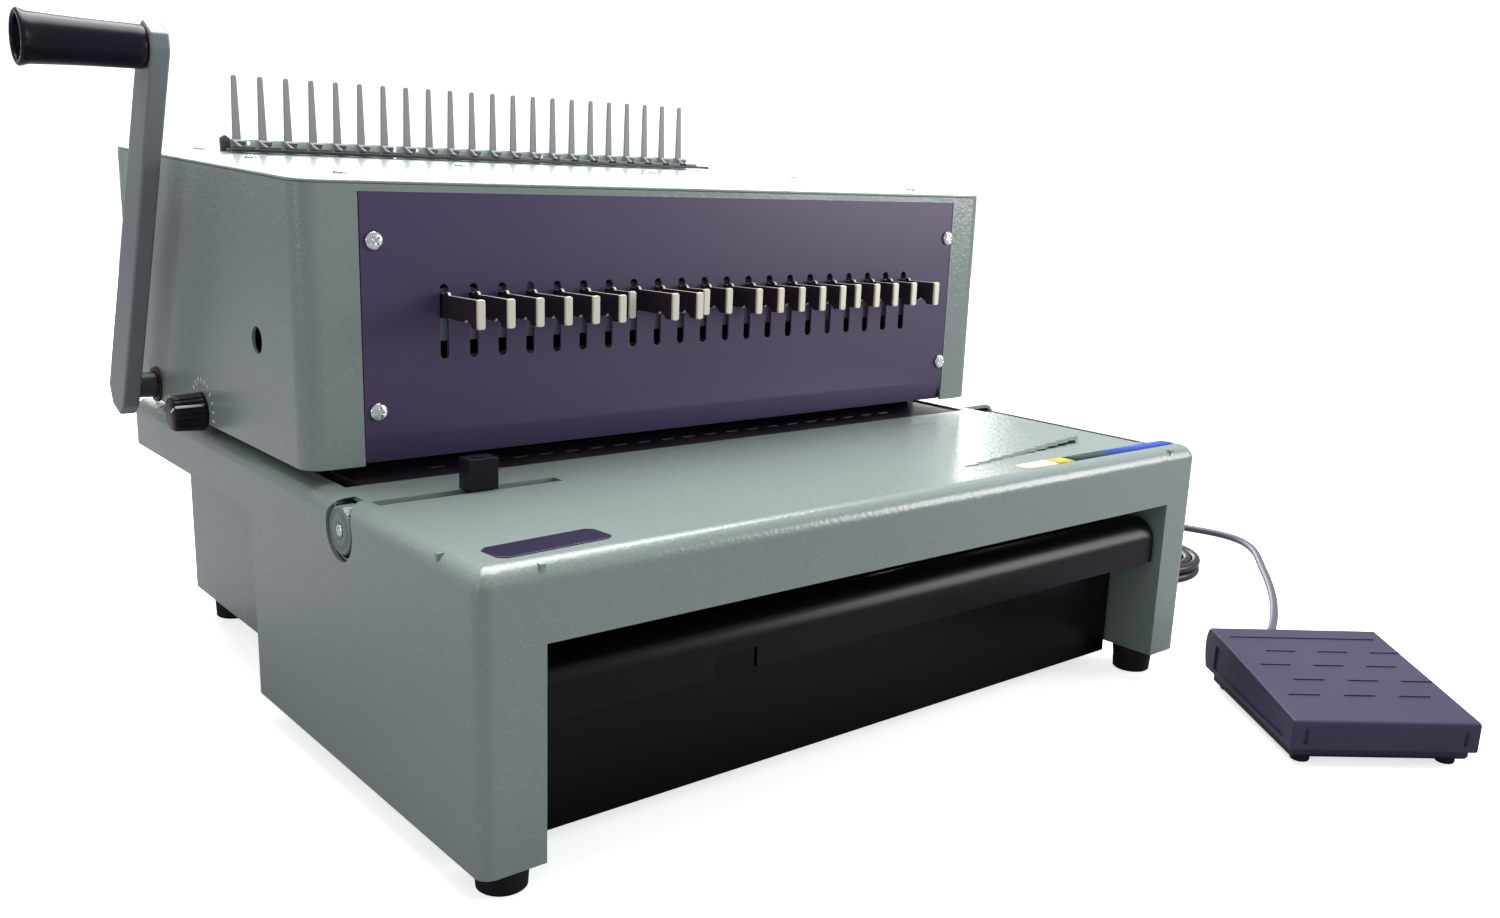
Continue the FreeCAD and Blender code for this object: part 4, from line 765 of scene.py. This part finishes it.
# thin black sheets behind the vents in the head's and the pedestal's backs: painted shade standing in for the
# dark inside, so nothing shows through
def makeVentShadeSheets():
    for name, (front, box) in ventShadeSheets.items():
        shadeSheet = prism(name, roundedBox(*box, 2, 3), front, front + 0.6, "Y", "blackPlastic")
        seat(settle(shadeSheet, 0.0001, 1, 30), "base")


screws = {"panel": [(-174.6, 232), (-174.6, 159.7), (177.5, 232), (177.5, 160)], "panelRadius": 4.0,
          "cover": [(-168, 48), (-167, 160), (-165, 243), (187, 40), (188, 150), (187, 243), (-56, 150),
                    (69, 143)], "coverRadius": 3.2, "coverHigh": 256.6, "coverRise": 10 / 254,
          "coverFacing": (0, -0.0393, 1), "turn": 3.0}
# a screw head's shape in shares of its radius and height
screwShape = {"foot": 0.98, "footHigh": 0.25, "side": 0.97, "sideHigh": 0.45,
              "dome": (0.35, 0.7, 1.0, 1.25, 1.45), "recess": (1.15, 0.24, 1.1)}


# domed head with a cross recess, its flat side on the origin
def screwHead(name, radius, tall):
    side, sideHigh = radius * screwShape["side"], screwShape["sideHigh"]
    profile = [(0, 0), (0, radius * screwShape["foot"]), (screwShape["footHigh"], radius)]
    profile.append((tall * sideHigh, side))
    for turn in screwShape["dome"]:
        profile.append((tall * (sideHigh + (1 - sideHigh) * math.sin(turn)), side * math.cos(turn)))
    profile.append((tall, 0))
    origin = Vector((0, 0, 0))
    head = lathe(name, profile, origin, "Z", "zinc", 32)
    long, wide, deep = screwShape["recess"]
    for turn in (0, 90):
        size = (radius * long, radius * wide, tall * deep)
        cutAway(head, block("recess", size, (0, 0, tall), origin, None, turn, "Z"))
    return settle(head, 0.0001, 1, 50)


def makeScrews():
    points = [spot(x, -0.1, z) for x, z in screws["panel"]]
    head = screwHead("panelScrewHead", screws["panelRadius"], 2.0)
    heads = onPoints("panelScrews", head, points, (0, -1, 0), "zinc", screws["turn"])
    seat(heads, "base", ["panel_screws"])
    points = [spot(x, y, screws["coverHigh"] + y * screws["coverRise"]) for x, y in screws["cover"]]
    head = screwHead("coverScrewHead", screws["coverRadius"], 1.4)
    heads = onPoints("coverScrews", head, points, screws["coverFacing"], "zinc", screws["turn"])
    seat(heads, "base", ["cover_screws"])


# runs are (how many hooks, how much shorter than reach)
frontHook = {"runs": [(6, 0), (1, 13), (2, -1.5), (2, 12), (5, 6), (4, 9.5), (1, 6)], "reach": 30,
             "low": 198.3, "tall": 11, "thick": 1.5, "flange": 3.8, "sideways": 0.75}


# one hook: a notched blade through its slot, its tip turned square to the right
def hookPart(x, reach):
    low, high = frontHook["low"], frontHook["low"] + frontHook["tall"]
    half = frontHook["thick"] / 2
    blade = [(4.4, low + 0.2), (4.4, high), (-1.5, high), (-2.6, high + 0.9), (-4.6, high + 0.9),
             (-5.6, high - 0.4), (-reach - 0.4, high), (-reach - 0.4, low - 1.4), (-reach + 4.2, low - 1.4),
             (-reach + 5.4, low + 0.2), (-reach + 8.6, low + 1.9), (-reach + 10.5, low + 0.4),
             (-6, low + 0.4), (-4.4, low)]
    plate = prism("hookBlade", blade, x - half, x + half, "X", "bladeSteel")
    settle(plate, 0.0003, 2, 30)
    # the plate's edge faces, picked by their normals, take the bright flange colour as a painted highlight;
    # its two sides keep the dark blade colour
    plate.data.materials.append(finishes["flangeSteel"])
    for face in plate.data.polygons:
        if abs(face.normal.x) < frontHook["sideways"]:
            face.material_index = 1
    corners = roundedBox(x - half, low - 1.5, x - half + frontHook["flange"], high + 0.2, 1.1, 4)
    flange = prism("hookFlange", corners, -reach - frontHook["thick"], -reach, "Y", "flangeSteel")
    settle(flange, 0.00045, 3, 30)
    return joined("frontHook", [plate, flange])


def makeFrontHooks():
    shorter = [short for count, short in frontHook["runs"] for _ in range(count)]
    hooks = [hookPart((number - (len(shorter) - 1) / 2) * pitch, frontHook["reach"] - short)
             for number, short in enumerate(shorter)]
    seat(joined("frontHooks", hooks), "hook_carriage", ["front_hooks"])
    # the carrier's colour is its own paint plus painted light
    easedCopy("hookCarrier", "hook_carrier", "carrierPaint", 0.0005)


# groups are (side, first tine, how many)
tine = {"groups": [("Left", 0, 7), ("Middle", 7, 7), ("Right", 14, 8)], "count": 22, "root": 5.2,
        "tip": 2.9, "low": 262, "high": 306, "front": 227, "thick": 1.6}


def tineX(number):
    return (number - (tine["count"] - 1) / 2) * pitch


def makeTines():
    for side, first, count in tine["groups"]:
        x = tineX(first)
        root, tip, top = tine["root"] / 2, tine["tip"] / 2, tine["high"]
        corners = [(x - root, tine["low"]), (x + root, tine["low"])]
        corners += arc(x, top - tip, tip, 0, 180, 10)
        blade = prism("tine", corners, tine["front"], tine["front"] + tine["thick"], "Y", "tineSteel")
        settle(blade, 0.00045, 3, 35)
        row = rowOf("tines" + side, blade, count, pitchStep, "tineSteel")
        seat(row, "base", ["tines_" + side.lower()])
        makeOpenerRow(side, x, count)
    makeTineBar()


# the flat tongue is (low, high), the upright claw and the painted highlight on its edge are (front, back)
opener = {"Tongue": (267.2, 268.5), "Claw": (222.7, 223.5), "Edge": (222.42, 222.9), "top": 271.9,
          "waist": 268.4, "foot": 265.85, "arm": 271.0}


# opener hook at the foot of each tine: flat tongue, waisted claw and a near-white strip along its left and
# top edge, a painted highlight
def makeOpenerRow(side, x, count):
    top, waist, foot, arm = opener["top"], opener["waist"], opener["foot"], opener["arm"]
    outline = [(x - 4.6, 212.0), (x + 4.4, 212.0), (x + 4.4, 216.2), (x + 0.4, 219.4), (x + 4.2, 222.4),
               (x - 3.0, 222.4), (x - 4.2, 221.0), (x - 4.2, 218.2), (x - 1.2, 216.0), (x - 4.6, 214.4)]
    left = [(x - 4.3, top), (x - 0.5, waist), (x - 3.3, foot)]
    right = [(x + 3.9, foot), (x + 2.7, waist), (x + 3.9, top)]
    inside = [(x - 1.5, foot), (x + 1.3, waist), (x - 2.2, arm), (x + 3.9, arm), (x + 3.9, top)]
    rows = []
    for name, corners, along, finish in (("Tongue", outline, "Z", "darkSteel"),
                                         ("Claw", left + right, "Y", "clawBrown"),
                                         ("Edge", left + inside, "Y", "clawEdge")):
        part = settle(prism("opener" + name, corners, *opener[name], along, finish), 0.0001, 1, 30)
        rows.append(rowOf("opener" + name + side, part, count, pitchStep, finish))
    seat(joined("openerHooks" + side, rows), "opener", ["opener_hooks_" + side.lower()])


tineStrip = {"overhang": 6.2, "low": 255.5, "high": 272.2, "front": 228.6, "back": 230.6, "corner": 0.8,
             "holeIn": 13.2, "holeHigh": 270.4, "holeRadius": 1.2}


def makeTineBar():
    pieces = []
    for _, first, count in tine["groups"]:
        x0 = tineX(first) - tineStrip["overhang"]
        x1 = tineX(first + count - 1) + tineStrip["overhang"]
        corners = roundedBox(x0, tineStrip["low"], x1, tineStrip["high"], tineStrip["corner"], 3)
        # the strip's colour is its pale paint plus painted light
        strip = prism("tineStrip", corners, tineStrip["front"], tineStrip["back"], "Y", "stripPaint")
        corners = arc(x0 + tineStrip["holeIn"], tineStrip["holeHigh"], tineStrip["holeRadius"], 0, 342, 19)
        cutAway(strip, prism("stripHole", corners, 225, 234, "Y"))
        pieces.append(settle(strip, 0.0003, 2, 35))
    clip = prism("endClip", [(-158.6, 262), (-153.6, 262), (-153.6, 272.5), (-156.2, 274.2), (-158.6, 272.5)],
                 227.6, 230.4, "Y", "darkSteel")
    pieces.append(settle(clip, 0.0003, 2, 30))
    seat(joined("tineBar", pieces), "base", ["tine_bar"])
    easedCopy("openerRail", "opener_rail", "dieSteel", 0.0003)


grip = {"root": 9.5, "mouth": 11.8, "long": 51, "hollow": 9.3, "hollowDeep": 19, "steps": 12}
shaftRing = {"place": (-207, 203, 144.5), "profile": [(0, 6.9), (-1.0, 6.9), (-1.4, 7.3), (-1.4, 8.9),
                                                      (-1.0, 9.3), (0, 9.3), (0, 6.9)]}


def makeLever():
    easedCopy("leverArm", "lever_arm", "leverPaint", 0.0013, 4, 25)
    low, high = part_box("lever_grip")
    centre = Vector((high.x, (low.y + high.y) / 2, (low.z + high.z) / 2))
    root, mouth, end, hollow = grip["root"], grip["mouth"], -grip["long"], grip["hollow"]
    profile = [(0, 0), (0, root - 1.2), (-0.35, root - 0.4), (-1.2, root)]
    for i in range(1, grip["steps"]):
        share = i / grip["steps"]
        profile.append((end * share, root + (mouth - 0.7 - root) * (0.35 * share + 0.65 * share ** 3)))
    profile += [(end + 2.0, mouth - 0.25), (end + 0.9, mouth), (end + 0.25, mouth - 0.3), (end, mouth - 0.9),
                (end, hollow + 0.7), (end + 0.4, hollow + 0.15), (end + 1.2, hollow),
                (end + grip["hollowDeep"], hollow - 0.5), (end + grip["hollowDeep"], 0)]
    handle = lathe("leverGrip", profile, centre, "X", "gripPlastic", 64)
    seat(handle, "lever", ["lever_grip"])
    easedCopy("leverShaft", "lever_shaft", "darkSteel", 0.0004)
    ring = lathe("shaftRing", shaftRing["profile"], spot(*shaftRing["place"]), "X", "bronze", 48)
    seat(ring, "base", [])


knob = {"place": (-207, 129.7, 141.8), "radius": 9.5, "face": -15.4, "flutes": 20, "fluteDeep": 0.55,
        "fluteFrom": -1.0, "fluteTo": -14.6, "turn": 62, "lineSize": (13.8, 1.1, 0.6),
        "markSize": (0.3, 1, 5.5)}
ticks = {"count": 13, "radius": 15.2, "sweep": 200, "size": (0.12, 0.9, 3.1), "out": 0.05}


def makeKnob():
    def flute(turn, along):
        if along > knob["fluteFrom"] or along < knob["fluteTo"]:
            return 0
        return -knob["fluteDeep"] * (0.5 + 0.5 * math.cos(knob["flutes"] * turn)) ** 2
    r, face = knob["radius"], knob["face"]
    centre = spot(*knob["place"])
    profile = [(8, 0), (8, 3), (-0.3, 3), (-0.3, r), (-1.6, r)]
    profile += [(-at, r - 0.06 * at) for at in (3, 6, 9, 12, 14)]
    profile += [(face + 0.5, r - 1.4), (face, r - 2.0), (face, 0)]
    body = lathe("knobBody", profile, centre, "X", "blackPlastic", 160, flute)
    pointer = block("knobPointer", knob["lineSize"], (-8.2, 0, r - 0.4), centre, "markWhite", knob["turn"])
    mark = block("knobMark", knob["markSize"], (face, 0, r - 4.8), centre, "markWhite", knob["turn"])
    seat(joined("sizeKnob", [body, pointer, mark]), "size_knob", ["size_knob"])
    makeTicks()


# short painted strokes round the knob
def makeTicks():
    x, y, z = knob["place"]
    strokes = []
    for i in range(ticks["count"]):
        angle = ticks["sweep"] * (i / (ticks["count"] - 1) - 0.5)
        strokes.append(block("tick", ticks["size"], (0, 0, ticks["radius"]), spot(x - ticks["out"], y, z),
                             "markWhite", angle))
    seat(joined("knobTicks", strokes), "base")


wheel = {"place": (-205.7, -29, 118.2), "radius": 10.35, "wide": 8.5, "bore": 2.06, "ribs": 40,
         "ribDeep": 0.35, "ribFrom": 1.2, "hubOut": 0.3, "hubRadius": 2.7}


def makeWheel():
    r, wide, bore = wheel["radius"], wheel["wide"], wheel["bore"]
    first, last = wheel["ribFrom"], wide - wheel["ribFrom"]

    def knurl(turn, along):
        if along < first or along > last:
            return 0
        return -wheel["ribDeep"] * (0.5 + 0.5 * math.cos(wheel["ribs"] * turn))
    profile = [(0.5, bore), (0.2, 3.4), (0, 3.8), (0, 7.2), (0.45, 7.6), (0.45, 8.6), (0, 9.0), (0, r - 0.8),
               (0.5, r - 0.15), (first, r), (2.2, r), (6.3, r), (last, r), (wide - 0.3, r - 0.4),
               (wide, r - 1), (wide, bore), (0.5, bore)]
    disc = lathe("marginWheel", profile, spot(*wheel["place"]), "X", "wheelMetal", 160, knurl)
    seat(disc, "margin_wheel", ["margin_wheel"])
    easedCopy("wheelBracket", "wheel_bracket", "plainSteel", 0.0003)
    x, y, z = wheel["place"]
    head = screwHead("hubScrew", wheel["hubRadius"], 1.0)
    hub = onPoints("hubScrews", head, [spot(x + wheel["hubOut"], y, z)], (-1, 0, 0), "zinc", 1.0)
    seat(hub, "base")


guideRib = {"box": (-150.5, -40.6, -145.5, -37.4), "corner": 1.2, "low": 144.4, "high": 145.0}


def makeGuide():
    easedCopy("edgeGuide", "edge_guide", "blackPlastic", 0.0008, 3)
    corners = roundedBox(*guideRib["box"], guideRib["corner"], 3)
    rib = prism("guideRib", corners, guideRib["low"], guideRib["high"], "Z", "blackPlastic")
    seat(settle(rib, 0.0002, 2, 30), "edge_guide")


colourStrip = {"bands": [("stripPale", 95, 119), ("stripGold", 119, 132), ("stripGreen", 132, 164),
                         ("stripBlue", 164, 220.6)], "front": -137.3, "back": -128.3}
badge = {"outline": [(-191.3, -132.2), (-188.6, -135.1), (-144.4, -132.7), (-141.5, -130.2),
                     (-142.4, -119.5), (-145.2, -117.1), (-189.4, -119.7), (-192.2, -122.2)]}
ledgeTop = 130.5


def makeTrim():
    front, back = colourStrip["front"], colourStrip["back"]
    parts = []
    for material, x0, x1 in colourStrip["bands"]:
        right = [(x1, front), (x1, back)]
        if material == "stripBlue":
            radius = (back - front) / 2
            right = arc(x1 - radius, (front + back) / 2, radius, -90, 90, 12)
        corners = [(x0, front), *right, (x0, back)]
        parts.append(prism("band", corners, ledgeTop, ledgeTop + 0.25, "Z", material))
    seat(joined("sizeColourStrip", parts), "base", ["size_colour_strip"])
    seat(makeBadge(), "base", ["badge_plate"])


# plain plate with no lettering
def makeBadge():
    plate = prism("badgePlate", badge["outline"], ledgeTop, ledgeTop + 0.5, "Z", "badge")
    return settle(plate, 0.0002, 2, 30)


def makeTray():
    easedCopy("chipTray", "chip_tray", "trayPlastic", 0.0006)


# places are (x, y, height)
feet = {"places": [(-188, -128, 14), (215, -128, 14), (-164, 232, 16), (189, 232, 16)],
        "sole": [(0, 0), (0, 4.2), (1.4, 4.4), (1.4, 5.2), (0, 5.6), (0, 9.3), (0.5, 9.9), (1.6, 10.0)]}


def makeFeet():
    parts = []
    for x, y, tall in feet["places"]:
        profile = feet["sole"] + [(tall - 4.2, 10.6), (tall - 3.6, 10.9), (tall - 0.6, 11), (tall, 10.5),
                                  (tall, 0)]
        parts.append(lathe("foot", profile, spot(x, y, 0), "Z", "rubber", 56))
    seat(joined("rubberFeet", parts), "base", ["rubber_feet"])


def makeInside():
    for name, node, material, slot, bevel in (
            ("frameLeft", "frame_left", "plainSteel", "steel", 0.0003),
            ("frameRight", "frame_right", "plainSteel", "steel", 0.0003),
            ("tieBars", "tie_bars", "plainSteel", "steel", 0.0004),
            ("dieBlock", "die_block", "dieSteel", "steel", 0.0003),
            ("punchGuide", "punch_guide", "dieSteel", "steel", 0.0003),
            ("punchBar", "punch_bar", "plainSteel", "steel", 0.0005),
            ("punches", "punches", "darkSteel", "steel", 0.0001),
            ("camshaft", "camshaft", "plainSteel", "steel", 0.0005),
            ("driveGear", "drive_gear", "plainSteel", "steel", 0.0002),
            ("motorPinion", "motor_pinion", "bronze", "steel", 0.0002),
            ("camshaftBearings", "camshaft_bearings", "bronze", "bronze", 0.0003),
            ("leverBushes", "lever_bushes", "bronze", "bronze", 0.0003),
            ("gearMotor", "gear_motor", "darkSteel", "steel", 0.0008),
            ("motorBracket", "motor_bracket", "plainSteel", "steel", 0.0005),
            ("controlBoard", "control_board", "board", "board", 0.0004),
            ("pedalSwitch", "pedal_switch", "blackPlastic", "black_plastic", 0.0005),
            ("switchFrame", "switch_frame", "blackPlastic", "black_plastic", 0.0005),
            ("powerRocker", "power_rocker", "blackPlastic", "black_plastic", 0.0006)):
        easedCopy(name, node, material, bevel)


pedal = {"x": 233, "y": -236.7, "turn": -37.3, "wide": 92, "long": 110, "frontHigh": 24, "backHigh": 32,
         "low": 8.5, "skin": 2.2, "slopeHalf": 53, "slotIn": 7, "slotHalf": 1.1, "recessDeep": 0.9}


# a point of the pedal's own frame, x to its right and y to its back
def onPedal(x, y, z):
    turn = math.radians(pedal["turn"])
    return spot(pedal["x"] + x * math.cos(turn) - y * math.sin(turn),
                pedal["y"] + x * math.sin(turn) + y * math.cos(turn), z)


# moves a mesh made in the pedal's own millimetre frame to its place
def toPedal(piece):
    turn = Matrix.Rotation(math.radians(pedal["turn"]), 4, "Z")
    piece.data.transform(Matrix.Translation(spot(pedal["x"], pedal["y"], 0)) @ turn
                         @ Matrix.Translation(-spot(0, 0, 0)))
    return piece


def treadTop(y):
    rise = pedal["backHigh"] - pedal["frontHigh"]
    return pedal["frontHigh"] + rise * (y + pedal["slopeHalf"]) / (2 * pedal["slopeHalf"])


def makeTread():
    half, back, front = pedal["wide"] / 2, pedal["long"] / 2, -pedal["long"] / 2
    low, frontHigh, backHigh, skin = pedal["low"], pedal["frontHigh"], pedal["backHigh"], pedal["skin"]
    outer = [(front, low), (front, frontHigh - 2)] + arc(front + 2, frontHigh - 2, 2, 165, 100, 4)
    outer += [(back - 3, backHigh), (back - 1, backHigh - 0.7), (back + 1, backHigh - 2.6),
              (back + 2.3, backHigh - 5.6), (back + 2.9, backHigh - 9), (back + 2.8, backHigh - 13),
              (back + 1.8, low + 6), (back - 0.6, low)]
    shell = prism("pedalTread", outer, -half, half, "X", "pedalPlastic")
    settle(shell, 0.0011, 3, 35, False)
    inner = [(front + skin, -2), (front + skin, frontHigh - skin), (back - 2.5, backHigh - skin),
             (back + 0.4, backHigh - 12), (back - 2, low + 3), (back - 4, -2)]
    cutAway(shell, prism("treadHollow", inner, -half + skin, half - skin, "X"))
    cutAway(shell, prism("leadMouth", roundedBox(-10, -2, 0, 19, 2, 3), back - 10, back + 10, "Y"))
    near, far = front + 9, back - 12
    panelSide = [(near, low + 3), (far, low + 3), (far, treadTop(far) - 6), (near, treadTop(near) - 6)]
    for side in (-1, 1):
        x0, x1 = sorted((side * (half - pedal["recessDeep"]), side * (half + 2)))
        cutAway(shell, prism("sideRecess", panelSide, x0, x1, "X"))
        x = side * (half - pedal["slotIn"])
        corners = roundedBox(x - pedal["slotHalf"], low + 3.5, x + pedal["slotHalf"], 20, 1, 3)
        cutAway(shell, prism("frontSlot", corners, front - 3, front + 1.3, "Y"))
    settle(shell, 0.0, 2, 30, True)
    parts = [toPedal(shell), *makeTreadRidges(half, back)]
    seat(joined("pedalTread", parts), "pedal_tread", ["pedal_tread"])


ridge = {"wide": 1.6, "sunk": 0.6, "high": 0.55, "backIn": 14, "firstIn": 31, "rowStep": 17, "step": 28,
         "left": -33, "right": -17, "shifts": (6, -4, 6, -4), "inRow": 3}


# one long rib near the back and four staggered rows of short ones
def makeTreadRidges(half, back):
    def rib(x0, x1, y):
        z = treadTop(y)
        reach = ridge["wide"] / 2
        corners = roundedBox(x0, y - reach, x1, y + reach, reach - 0.01, 4)
        bar = prism("rib", corners, z - ridge["sunk"], z + ridge["high"], "Z", "pedalPlastic")
        return toPedal(settle(bar, 0.0003, 2, 30))
    made = [rib(-half + 6, half - 6, back - ridge["backIn"])]
    turn = math.radians(pedal["turn"])
    step = (ridge["step"] / 1000 * math.cos(turn), ridge["step"] / 1000 * math.sin(turn), 0)
    for row, shift in enumerate(ridge["shifts"]):
        y = back - ridge["firstIn"] - row * ridge["rowStep"]
        part = rib(ridge["left"] + shift, ridge["right"] + shift, y)
        made.append(rowOf(f"ribRow{row}", part, ridge["inRow"], step, "pedalPlastic"))
    return made


pedalFeet = {"places": [(-36, -45), (36, -45), (-36, 43), (36, 43)],
             "profile": [(0, 0), (0, 3.6), (0.3, 4.2), (0.8, 4.5), (3.5, 4.5), (3.5, 0)]}


def makePedal():
    makeTread()
    easedCopy("pedalBase", "pedal_base", "pedalDark", 0.0008, 3)
    parts = [lathe("pedalFoot", pedalFeet["profile"], onPedal(x, y, 0), "Z", "rubber", 40)
             for x, y in pedalFeet["places"]]
    seat(joined("pedalFeet", parts), "base", ["pedal_feet"])


makeLeads()
print("leads made")
makeCasings()
makePanel()
makeVentShadeSheets()
makeScrews()
print("casings made")
makeFrontHooks()
makeTines()
print("comb opener made")
makeLever()
makeKnob()
makeWheel()
makeGuide()
makeTrim()
print("hand controls made")
makeTray()
makeFeet()
makeInside()
makePedal()
print("tray, feet, inner parts and pedal made")
